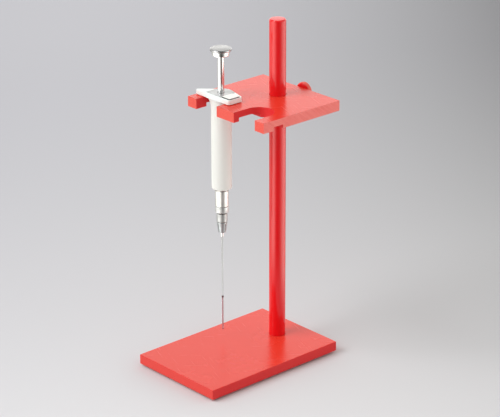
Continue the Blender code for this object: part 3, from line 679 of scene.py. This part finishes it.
def makeFeet(size):
    for name in ("foot_front_left", "foot_front_right", "foot_back_left", "foot_back_right"):
        low, high, radius = roundBox(name)
        ring, dip = size["footRing"], size["footRingDepth"]
        profile = softened(
            [
                (0, high.z), (radius, high.z, size["footTopEdge"]), (radius, low.z, size["footEdge"]),
                (ring + dip, low.z), (ring, low.z + dip), (0, low.z + dip),
            ],
            closed=False,
        )
        middle = ((low.x + high.x) / 2, (low.y + high.y) / 2, 0)
        foot = turned(name + "_pad", "rubber", profile, middle)
        fit(foot, "stand", "black_rubber", name)


postSettings = {
    "chamfer": 0.0010,
    "innerCorner": 0.0003,
    "outerCorner": 0.0006,
    "tapRadius": 0.0033,
    "tapDepth": 0.020,
    "tapPoint": 0.002,
}


def makePost(size):
    chamfer, tap = size["chamfer"], size["tapRadius"]
    profile = softened(
        [
            (0, postHigh.z), (postRadius - chamfer, postHigh.z, size["innerCorner"]),
            (postRadius, postHigh.z - chamfer, size["outerCorner"]), (postRadius, postLow.z),
            (tap, postLow.z), (tap, postLow.z + size["tapDepth"]),
            (0, postLow.z + size["tapDepth"] + size["tapPoint"]),
        ],
        closed=False,
    )
    post = turned("postBar", "bar", profile, (postX, postY, 0))
    fit(post, "stand", "red_plastic", "post")


makeBase(baseSettings)
makeFeet(baseSettings)
makePost(postSettings)
refinish("post_screw", "zinc")
print("stand dressed")


# Shelf with its slots, post hole and underside relief

shelfSettings = {
    "slotRadius": 0.0135,
    "slotX": 0.0247,
    "slotDepth": 0.0171,
    "edge": 0.00035,
    "reliefHeight": 0.0034,
    "tongueRelief": (0.0061, 0.0275),   # from the front edge
    "sideRelief": (0.0118, 0.0225),
    "holeClearance": 0.0003,
    "screwHole": 0.0028,
    "insertHole": 0.0038,
    "screwHoleEnd": 0.004,              # past the post's axis, inside the post's own hole
}


def makeShelf(size):
    front, back = shelfLow.y, shelfHigh.y
    outline = [(shelfLow.x, front)]
    for middle in (-size["slotX"], size["slotX"]):
        outline.append((middle - size["slotRadius"], front))
        outline += arcPoints(middle, front + size["slotDepth"], size["slotRadius"], 180, 0, 72)
        outline.append((middle + size["slotRadius"], front))
    outline += [(shelfHigh.x, front), (shelfHigh.x, back), (shelfLow.x, back)]
    gap = size["holeClearance"]
    hole = arcPoints(postX, postY, postRadius + gap, 0, 357.5, 143)
    mesh = flatMesh("shelfPlate", [outline, hole], shelfLow.z, shelfHigh.z)
    shelf = bevelled(newPiece("shelfPlate", mesh, "shelfSheet"), size["edge"], 2)
    wide, narrow = ([front + d for d in size[k]] for k in ("tongueRelief", "sideRelief"))
    far, slot = 2 * shelfHigh.x, size["slotX"]
    cross = [
        (-slot, wide[0]), (slot, wide[0]), (slot, narrow[0]), (far, narrow[0]),
        (far, narrow[1]), (slot, narrow[1]), (slot, wide[1]), (-slot, wide[1]),
        (-slot, narrow[1]), (-far, narrow[1]), (-far, narrow[0]), (-slot, narrow[0]),
    ]
    depth = size["reliefHeight"]
    relief = flatMesh("relief", [cross], shelfLow.z - depth, shelfLow.z + depth)
    seat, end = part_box("clamp_insert")[0].y - gap, postY + size["screwHoleEnd"]
    drilled = [
        (0, back + through), (size["insertHole"], back + through), (size["insertHole"], seat),
        (size["screwHole"], seat), (size["screwHole"], end), (0, end),
    ]
    bore = turnedMesh("bore", drilled, (postX, 0, clampZ), along="Y", sides=64)
    cutAway(shelf, [relief, bore])
    fit(shelf, "shelf", "red_plastic", "shelf_plate")


makeShelf(shelfSettings)
refinish("clamp_insert", "brass")
print("shelf dressed")


# A Geometry Nodes tree for the turns of the screw thread

class Tree(Nodes):
    def __init__(self, name, inputs):
        super().__init__(bpy.data.node_groups.new(name, "GeometryNodeTree"))
        for label, kind in inputs.items():
            self.tree.interface.new_socket(label, in_out="INPUT", socket_type="NodeSocket" + kind)
        self.tree.interface.new_socket("Geometry", in_out="OUTPUT", socket_type="NodeSocketGeometry")
        self.start = self.tree.nodes.new("NodeGroupInput")

    def given(self, label):
        return Value(self.tree, self.start.outputs[label])

    def close(self, geometry):
        sockets = {"Geometry": geometry, "Material": self.given("Finish")}
        coated = self.node("GeometryNodeSetMaterial", {}, sockets)
        end = self.tree.nodes.new("NodeGroupOutput")
        self.tree.links.new(coated.socket, end.inputs["Geometry"])
        return self.tree


def grown(name, tree, values, finish, placement):
    piece = bpy.data.objects.new(name, bpy.data.meshes.new(name))
    bpy.context.scene.collection.objects.link(piece)
    modifier = piece.modifiers.new("grow", "NODES")
    modifier.node_group = tree
    for item in tree.interface.items_tree:
        if item.in_out == "INPUT":
            value = finishes[finish] if item.name == "Finish" else values[item.name]
            modifier[item.identifier] = value
    baked(piece).data.transform(placement)
    shadeSmooth(piece.data)
    return piece


def threadTree():
    # a helix of square section set on its corner, along +Z from 0 to Length
    tree = Tree("threadTurns", {
        "Radius": "Float", "Pitch": "Float", "Length": "Float", "Depth": "Float", "Finish": "Material",
    })
    spiral = tree.node("GeometryNodeCurveSpiral", {}, {
        "Resolution": 28,
        "Rotations": tree.given("Length") / tree.given("Pitch"),
        "Start Radius": tree.given("Radius"),
        "End Radius": tree.given("Radius"),
        "Height": tree.given("Length"),
    })
    upright = tree.node("GeometryNodeSetCurveNormal", {"mode": "Z_UP"}, {"Curve": spiral})
    ridge = tree.node("GeometryNodeCurvePrimitiveCircle", {"mode": "RADIUS"}, {
        "Resolution": 4,
        "Radius": tree.given("Depth"),
    })
    swept = tree.node("GeometryNodeCurveToMesh", {}, {
        "Curve": upright,
        "Profile Curve": ridge,
        "Fill Caps": True,
    })
    return tree.close(swept)


threadTurns = threadTree()
print("thread tree built")


# Clamp screw and knob at the shelf's back

clampSettings = {
    "pitch": 0.0008,
    "threadDepth": 0.00030,
    "tipChamfer": 0.0008,
    "tipCorner": 0.0002,
    "boreGap": 0.0003,
    "knobFaceEdge": 0.0015,
    "knobBackEdge": 0.0010,
    "knobDish": 0.0004,
    "knobDishRadius": 0.0048,
    "knobDishCorner": 0.0006,
    "knobRimCorner": 0.0003,
    "knobWeb": 0.0020,
}


def makeClamp(size):
    low, high, radius = roundBox("clamp_screw")
    core, chamfer = radius - size["threadDepth"], size["tipChamfer"]
    profile = softened(
        [
            (0, high.y), (core, high.y), (core, low.y + chamfer),
            (core - chamfer, low.y, size["tipCorner"]), (0, low.y),
        ],
        closed=False,
    )
    stud = turned("clampStud", "zinc", profile, (postX, 0, clampZ), along="Y", sides=64)
    fit(stud, "clamp_stud", "zinc_steel", "clamp_screw")
    helix = {
        "Radius": core,
        "Pitch": size["pitch"],
        "Length": high.y - low.y - 2 * chamfer,
        "Depth": size["threadDepth"],
    }
    start = Matrix.Translation((postX, low.y + 1.5 * chamfer, clampZ))
    thread = grown("clampThread", threadTurns, helix, "zinc", start @ Matrix.Rotation(-pi / 2, 4, "X"))
    fit(thread, "clamp_stud", "zinc_steel")

    knobRadius = (knobHigh.x - knobLow.x) / 2
    front, back = knobLow.y, knobHigh.y
    bore, dish, dishRadius = radius + size["boreGap"], size["knobDish"], size["knobDishRadius"]
    knobProfile = softened(
        [
            (0, back - dish), (dishRadius, back - dish, size["knobDishCorner"]),
            (dishRadius + dish, back, size["knobRimCorner"]), (knobRadius, back, size["knobBackEdge"]),
            (knobRadius, front, size["knobFaceEdge"]), (bore, front),
            (bore, back - size["knobWeb"]), (0, back - size["knobWeb"]),
        ],
        closed=False,
        steps=8,
    )
    knob = turned("clampKnob", "knob", knobProfile, (postX, 0, clampZ), along="Y")
    fit(knob, "knob", "red_plastic", "clamp_knob")


makeClamp(clampSettings)
print("clamp dressed")


# Pipette body: barrel, flange and the haunch between them in one moulding

bodySettings = {
    "barrelRadius": 0.0092,
    "barrelFoot": 0.0091,
    "footRounding": 0.0013,
    "front": 0.0103,            # from the pipette's axis to the flange's straight front
    "thickness": 0.0047,
    "discRadius": 0.0110,
    "corner": 0.0018,
    "edge": 0.0006,
    "broadBack": 0.0053,
    "tipWidth": 0.0022,
    "tipCorner": 0.0006,
    "sweep": 45,
    "haunchReach": 0.0015,
    "haunchDrop": 0.0100,
    "haunchInset": 0.0001,
    "haunchCorner": 9,          # the higher, the squarer the haunch's two front corners
    "rim": 0.0010,
    "seatGap": 0.0003,
    "grooveFront": 0.0007,      # the groove round the tab, wider in front
    "tabCorner": 0.0009,
    "rodHole": 0.0033,
    "boreWall": 0.0018,
    "barrelSunk": 0.0010,       # the barrel ends inside the flange, this far below its top
}


def broadEdge(size, radius, x):
    # the broad arm's back edge is a tangent of the flange's round middle
    arm = (bodyHigh.x - bodyLow.x) / 2
    back = size["broadBack"]
    turn = atan2(back, arm) + acos(size["discRadius"] / hypot(arm, back))
    return degrees(turn), (x, (radius - x * cos(turn)) / sin(turn))


def flangeOutline(size):
    arm = (bodyHigh.x - bodyLow.x) / 2
    slope = tan(radians(size["sweep"]))
    tipBack = size["tipWidth"] - size["front"]
    rise = tipBack + arm * slope
    spread = sqrt((1 + slope ** 2) * size["discRadius"] ** 2 - rise ** 2)
    meetX = -(slope * rise + spread) / (1 + slope ** 2)
    meetTurn = degrees(atan2(rise + slope * meetX, meetX))
    broadTurn, broadCorner = broadEdge(size, size["discRadius"], arm)
    return softened(
        [
            (-arm, -size["front"], size["tipCorner"]),
            (arm, -size["front"], size["corner"]),
            (*broadCorner, size["corner"]),
            *arcPoints(0, 0, size["discRadius"], broadTurn, meetTurn, 40),
            (-arm, tipBack, size["tipCorner"]),
        ]
    )


def plateOutline(size, margin):
    low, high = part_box("top_plate")
    left, right = low.x - pipeX - margin, high.x - pipeX + margin
    radius = size["discRadius"] - size["rim"] + margin
    front = -size["front"] + size["rim"] - margin
    broadTurn, corner = broadEdge(size, radius, right)
    arc = arcPoints(0, 0, radius, broadTurn, degrees(acos(left / radius)), 40)
    return [(left, front), (right, front), corner] + arc


def tabOutline(size, margin, front):
    low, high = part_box("end_tab")
    left, right = low.x - pipeX - margin, high.x - pipeX + margin
    near, far = low.y - pipeY - front, high.y - pipeY + margin
    corner = size["tabCorner"] + margin
    return softened([(x, y, corner) for x, y in rectangle(left, near, right, far)])


def haunchMesh(size, flangeBottom, steps=24, sides=144):
    # sections that open from the barrel's round to the flange's straight front
    inside = size["barrelRadius"] - size["haunchInset"]
    side = size["barrelRadius"] + size["haunchReach"]
    front = size["front"] - size["haunchInset"]
    square = size["haunchCorner"]
    levels = [
        (flangeBottom - size["haunchDrop"] * (1 - i / steps), 1 - sqrt(1 - (i / steps) ** 2))
        for i in range(steps + 1)
    ]
    levels.append((flangeBottom + size["thickness"] / 2, 1))
    form = bmesh.new()
    rings = []
    for z, share in levels:
        ring = []
        for i in range(sides):
            x, y = cos(2 * pi * i / sides), sin(2 * pi * i / sides)
            outer = side
            if y < 0:
                outer = ((abs(x) / side) ** square + (-y / front) ** square) ** (-1 / square)
            reach = inside + (outer - inside) * share
            ring.append(form.verts.new((reach * x, reach * y, z)))
        rings.append(ring)
    form.faces.new(reversed(rings[0]))
    form.faces.new(rings[-1])
    for lower, upper in zip(rings, rings[1:]):
        for i in range(sides):
            j = (i + 1) % sides
            form.faces.new((lower[i], lower[j], upper[j], upper[i]))
    bmesh.ops.triangulate(form, faces=[face for face in form.faces if len(face.verts) == 4])
    mesh = bpy.data.meshes.new("haunch")
    form.to_mesh(mesh)
    form.free()
    return mesh


def makeBody(size):
    top, bottom, gap = bodyHigh.z, bodyLow.z, size["seatGap"]
    flangeBottom, barrelTop = top - size["thickness"], top - size["barrelSunk"]
    barrel = softened(
        [
            (0, barrelTop), (size["barrelRadius"], barrelTop),
            (size["barrelFoot"], bottom, size["footRounding"]), (0, bottom),
        ],
        closed=False,
        steps=8,
    )
    flange = flatMesh("flange", [flangeOutline(size)], flangeBottom, top)
    body = bevelled(newPiece("pipetteBody", flange, "white"), size["edge"], 4)
    added = [turnedMesh("barrel", barrel, (0, 0, 0)), haunchMesh(size, flangeBottom)]
    combined(body, added, "UNION")

    plateLow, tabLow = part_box("top_plate")[0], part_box("end_tab")[0]
    bushLow, _, bushRadius = roundBox("rod_bush")
    bushHole = bushRadius + gap
    tubeHole = tubeRadius + gap
    seat = bushLow.z - gap
    step = seat - size["boreWall"]
    rodHole = size["rodHole"]
    bore = [
        (0, top + gap), (bushHole, top + gap), (bushHole, seat), (rodHole, seat), (rodHole, step),
        (tubeHole, step - tubeHole + rodHole), (tubeHole, bottom - gap), (0, bottom - gap),
    ]
    tabSeat = tabOutline(size, gap, size["grooveFront"])
    cutAway(body, [
        turnedMesh("bore", bore, (0, 0, 0), sides=96),
        flatMesh("plateSeat", [plateOutline(size, gap)], plateLow.z - gap, top + gap),
        flatMesh("tabSeat", [tabSeat], tabLow.z - gap, top + gap),
    ])
    body.data.transform(Matrix.Translation(pipeAxis))
    fit(body, "pipette", "white_plastic", "pipette_body")


makeBody(bodySettings)
print("pipette body dressed")


# Plate and tab let into the flange's top

trimSettings = {
    "plateEdge": 0.0002,
    "tabEdge": 0.0005,
}


def makeTrim(size):
    low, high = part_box("top_plate")
    hole = arcPoints(0, 0, bodySettings["rodHole"], 0, 355, 71)
    mesh = flatMesh("topPlate", [plateOutline(bodySettings, 0), hole], low.z, high.z)
    mesh.transform(Matrix.Translation(pipeAxis))
    plate = squared(bevelled(newPiece("topPlate", mesh, "greyPlate"), size["plateEdge"], 2))
    fit(plate, "pipette", "grey_plate", "top_plate")
    low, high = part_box("end_tab")
    mesh = flatMesh("endTab", [tabOutline(bodySettings, 0, 0)], low.z, high.z)
    mesh.transform(Matrix.Translation(pipeAxis))
    tab = squared(bevelled(newPiece("endTab", mesh, "tabWhite"), size["tabEdge"], 4))
    fit(tab, "pipette", "white_plastic", "end_tab")


makeTrim(trimSettings)


# Plunger: rod, button and collar

plungerSettings = {
    "rodRadius": 0.0030,
    "stemRadius": 0.0018,
    "stemTop": 0.050,           # below the flange's top
    "boreRadius": 0.0033,
    "boreDepth": 0.0010,
    "buttonEdge": 0.0010,
    "buttonUnderEdge": 0.0006,
    "buttonCrown": 0.0003,
    "crownShare": 0.86,         # of the button's radius
    "collarEdge": 0.0006,
}


def makePlunger(size):
    low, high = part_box("plunger_rod")
    thick, stem, step = size["rodRadius"], size["stemRadius"], bodyHigh.z - size["stemTop"]
    rod = [(0, high.z), (thick, high.z), (thick, step), (stem, step), (stem, low.z), (0, low.z)]
    fitTurned("plungerRod", "polished", rod, "plunger", "chrome", "plunger_rod", closed=False, sides=96)

    low, high, radius = roundBox("plunger_button")
    crown, crowned = size["buttonCrown"], radius * size["crownShare"]
    bore, seat = size["boreRadius"], low.z + size["boreDepth"]
    button = [(crowned * i / 6, high.z - crown * (i / 6) ** 2) for i in range(6)]
    button += softened(
        [
            (crowned, high.z - crown), (radius, high.z - crown, size["buttonEdge"]),
            (radius, low.z, size["buttonUnderEdge"]), (bore, low.z), (bore, seat), (0, seat),
        ],
        closed=False,
    )
    fitTurned("plungerButton", "button", button, "plunger", "chrome", "plunger_button", closed=False)

    low, high, radius = roundBox("button_collar")
    collar = ringProfile(bore, radius, low, high, size["collarEdge"])
    fitTurned("buttonCollar", "polished", collar, "plunger", "chrome", "button_collar")


makePlunger(plungerSettings)


# Neck, collar ring, chuck nut, collet jaws and tip sleeve

noseSettings = {
    "clearance": 0.0003,
    "neckBore": 0.0040,
    "neckTopEdge": 0.0003,
    "neckEdge": 0.0002,
    "neckFloor": 0.004,
    "airHole": 0.0005,
    "spigotRadius": 0.0034,
    "spigotBore": 0.0022,
    "collarEdge": 0.0003,
    "nutEdge": 0.0005,
    "jawBore": 0.0018,
    "coneEdge": 0.0003,
    "mouthRadius": 0.0034,
    "mouthEdge": 0.0005,
    "slitWidth": 0.00055,
    "slitLength": 0.0088,
    "jaws": 4,
    "sleeveBore": 0.0012,
    "sleeveEdge": 0.00025,
}


def makeNose(size):
    gap, spigot, spigotBore = size["clearance"], size["spigotRadius"], size["spigotBore"]
    neckBore, airHole = size["neckBore"], size["airHole"]
    neckBottom = collarTop + gap
    floor = neckBottom + size["neckFloor"]
    neck = softened(
        [
            (neckBore, tubeHigh.z), (tubeRadius, tubeHigh.z, size["neckTopEdge"]),
            (tubeRadius, neckBottom, size["neckEdge"]), (spigot, neckBottom), (spigot, tubeLow.z),
            (spigotBore, tubeLow.z), (spigotBore, neckBottom),
            (airHole, neckBottom), (airHole, floor), (neckBore, floor),
        ]
    )
    fitTurned("neckTube", "neck", neck, "pipette", "chrome", "cylinder_tube")

    low, high, radius = roundBox("collar_ring")
    ring = ringProfile(spigot + gap, radius, low, high, size["collarEdge"])
    fitTurned("collarRing", "satin", ring, "pipette", "satin_metal", "collar_ring")

    low, high, radius = roundBox("chuck_nut")
    nut = ringProfile(spigot + gap, radius, low, high, size["nutEdge"])
    fitTurned("chuckNut", "turned", nut, "chuck", "satin_metal", "chuck_nut")

    low, high, coneRadius = roundBox("collet_jaws")
    coneTop, bore = nutBottom - gap, size["jawBore"]
    cone = softened(
        [
            (bore, high.z), (spigot, high.z), (spigot, coneTop), (coneRadius, coneTop, size["coneEdge"]),
            (size["mouthRadius"], low.z, size["mouthEdge"]), (bore, low.z),
        ]
    )
    jaws = turned("colletJaws", "jaws", cone, pipeAxis, closed=True, sides=128)
    half, wide = size["slitWidth"] / 2, 2 * coneRadius
    cut = rectangle(-wide, -half, wide, half)
    slits = []
    for k in range(size["jaws"] // 2):
        mesh = flatMesh("slit", [cut], low.z - through, low.z + size["slitLength"])
        mesh.transform(Matrix.Translation(pipeAxis) @ Matrix.Rotation(2 * pi * k / size["jaws"], 4, "Z"))
        slits.append(mesh)
    cutAway(jaws, slits)
    fit(jaws, "pipette", "chrome", "collet_jaws")

    low, high, radius = roundBox("tip_sleeve")
    bore, edge = size["sleeveBore"], size["sleeveEdge"]
    sleeve = softened([(bore, high.z), (radius, high.z), (radius, low.z, edge), (bore, low.z)])
    fitTurned("tipSleeve", "polished", sleeve, "pipette", "chrome", "tip_sleeve", sides=64)


makeNose(noseSettings)
print("plunger and nose dressed")


# Glass capillary, its ring mark and the sample drawn up to it

capillarySettings = {
    "bore": 0.0005,
    "ringHeight": 0.0520,
    "ringWidth": 0.0012,
    "ringProud": 0.00003,
    "fillGap": 0.00002,
    "meniscus": 0.0003,
    "topEdge": 0.0002,
    "tipEdge": 0.0003,
    "boreEdge": 0.0001,
    "tipTaper": 0.0001,         # the sample narrows over this length at the tip
    "tipShare": 0.6,
}


def makeCapillary(size):
    low, high, radius = roundBox("capillary")
    glass = softened(
        [
            (size["bore"], high.z), (radius, high.z, size["topEdge"]),
            (radius, low.z, size["tipEdge"]), (size["bore"], low.z, size["boreEdge"]),
        ]
    )
    fitTurned("glassCapillary", "glass", glass, "pipette", "capillary_glass", "capillary", sides=48)

    width, outer, top = size["ringWidth"] / 2, radius + size["ringProud"], size["ringHeight"]
    ring = [(radius, top + width), (outer, top + width), (outer, top - width), (radius, top - width)]
    fitTurned("ringMark", "ring", ring, "pipette", "capillary_glass", sides=48)

    fill = size["bore"] - size["fillGap"]
    column = [(fill * i / 5, top - size["meniscus"] * (1 - (i / 5) ** 2)) for i in range(6)]
    column += [(fill, low.z + size["tipTaper"]), (fill * size["tipShare"], low.z), (0, low.z)]
    fitTurned("sampleColumn", "sample", column, "pipette", "capillary_glass", closed=False, sides=32)


makeCapillary(capillarySettings)
for node, finish in {
    "rod_bush": "greyPlastic",
    "grip_sleeve": "silicone",
    "piston_head": "greyPlastic",
    "piston_seal": "rubber",
}.items():
    refinish(node, finish)
print("capillary dressed")


# Studio: pale sweep, one broad soft key light and a soft surround

studioSettings = {
    "floorRadius": 6.0,
    # the sweep's tone by metres to the right (u) and away (v) of the stand: painted light falloff, darker
    # towards the back and the right
    "tone": 0.6560,
    "byRight": -0.187,
    "byAway": -0.375,
    "byBoth": -0.189,
    "byAwaySquared": 0.197,
    "byRightSquared": -0.686,
    "rightLimits": (-0.45, 0.45),
    "awayLimits": (-0.40, 0.95),
    # painted reflections: how bright the floor glows for glossy rays, showing soft boxes and dark gaps
    # that are no lamps, by degrees to the camera's left
    "paintedReflections": [
        (-180, 0.4), (-140, 0.4), (-110, 2.6), (-90, 3.4), (-72, 2.8), (-52, 1.2), (-34, 0.3), (-14, 0.08),
        (6, 0.08), (24, 1.0), (38, 2.7), (60, 3.8), (85, 2.8), (100, 1.6), (124, 0.65), (180, 0.5),
    ],
    "paintedReflectionStart": (0.10, 0.22),
    "paintedBoxTint": (1.0, 0.985, 0.93),
    "keyStrength": 0.60,        # a white face square to the key light shows this much of it
    "keySoftness": 40,
    "keyHeight": 45,
    "keyLeft": 70,
    "skyTint": (1.0, 0.99, 0.95),
    "zenith": 0.50,
    "horizon": 1.12,
    # each of these comes in over a span of the direction's share along its axis
    "towardsCamera": 0.60,
    "cameraSpan": (0.4, 0.9),
    "rightGain": 0.75,
    "rightSpan": (0.2, 0.9),
    "behind": 1.00,
    "behindSpan": (0.2, 0.8),
    "behindFade": (0.25, 0.55),     # how high the glow behind the stand reaches
}


def makeSweep(size):
    mesh = turnedMesh("sweep", [(0, 0), (size["floorRadius"], 0)], (0, 0, 0), sides=96)
    floor = bpy.data.objects.new("sweep", mesh)
    bpy.context.scene.collection.objects.link(floor)
    finish = Finish("sweepPaper", Roughness=0.9, Specular_IOR_Level=0.1)
    place = finish.coordinates()
    x, y = finish.part(place, "X"), finish.part(place, "Y")
    right = x * floorRight.x + y * floorRight.y
    away = x * floorAway.x + y * floorAway.y
    u = right.between(*size["rightLimits"])
    v = away.between(*size["awayLimits"])
    tone = size["tone"] + u * size["byRight"] + v * size["byAway"] + u * v * size["byBoth"]
    tone = tone + v * v * size["byAwaySquared"] + u * u * size["byRightSquared"]
    tone = tone.limited()
    # the paper is also painted bluer towards the back and the left, part of the same painted light falloff
    cool = (v * 0.9 + 0.1 - u * 1.2).limited()
    blue = tone * (1.03 + 0.045 * cool)
    shade = finish.node("ShaderNodeCombineXYZ", {}, {"X": tone, "Y": tone, "Z": blue})
    finish.feed("Base Color", shade)

    # for glossy rays the paper glows with painted reflections of soft boxes and dark gaps round the table;
    # other rays see the plain paper
    turn = (0 - right).math("ARCTAN2", 0 - away) * (180 / pi)
    glow = size["paintedReflections"][0][1]
    for (start, low), (end, high) in zip(size["paintedReflections"], size["paintedReflections"][1:]):
        if high != low:
            glow = glow + (high - low) * turn.ramp(start, end)
    reach = (right * right + away * away).math("SQRT").ramp(*size["paintedReflectionStart"])
    paintedBoxes = finish.scaled(finish.mix(reach, shade, size["paintedBoxTint"]), glow * reach + 1 - reach)
    light = finish.node("ShaderNodeEmission", {}, {"Color": paintedBoxes})
    glossy = finish.node("ShaderNodeLightPath", {}, {}, "Is Glossy Ray")
    paper = Value(finish.tree, finish.shader.outputs[0])
    blend = finish.node("ShaderNodeMixShader", {}, {0: glossy, 1: paper, 2: light})
    surface = finish.tree.nodes["Material Output"].inputs["Surface"]
    finish.tree.links.new(blend.socket, surface)
    floor.data.materials.append(finish.done())


def makeKey(size):
    turn = atan2(viewBack.y, viewBack.x) - radians(size["keyLeft"])
    lift = radians(size["keyHeight"])
    way = Vector((cos(turn) * cos(lift), sin(turn) * cos(lift), sin(lift)))
    data = bpy.data.lights.new("softKey", "SUN")
    data.energy = size["keyStrength"] * pi
    data.angle = radians(size["keySoftness"])
    light = bpy.data.objects.new("softKey", data)
    light.rotation_mode = "QUATERNION"
    light.rotation_quaternion = way.to_track_quat("Z", "Y")
    bpy.context.scene.collection.objects.link(light)


def makeSurround(size):
    world = bpy.data.worlds.new("surround")
    world.use_nodes = True
    sky = Shading(world.node_tree)
    way = sky.coordinates("Generated")
    x, y, height = (sky.part(way, axis) for axis in "XYZ")
    flat = Vector((viewBack.x, viewBack.y)).normalized()
    facing = x * flat.x + y * flat.y
    glow = size["zenith"] + (size["horizon"] - size["zenith"]) * (1 - height.limited()) ** 2
    glow = glow * (1 - size["towardsCamera"] * facing.ramp(*size["cameraSpan"]))
    sideways = x * viewRight.x + y * viewRight.y
    glow = glow * (1 + size["rightGain"] * sideways.ramp(*size["rightSpan"]))
    behind = (0 - facing).ramp(*size["behindSpan"]) * (1 - height.ramp(*size["behindFade"]))
    glow = glow + size["behind"] * behind
    background = world.node_tree.nodes["Background"]
    world.node_tree.links.new(sky.scaled(size["skyTint"], glow).socket, background.inputs["Color"])
    bpy.context.scene.world = world


makeSweep(studioSettings)
makeSurround(studioSettings)
makeKey(studioSettings)
bpy.context.scene.view_settings.view_transform = "Standard"
print("studio lit")
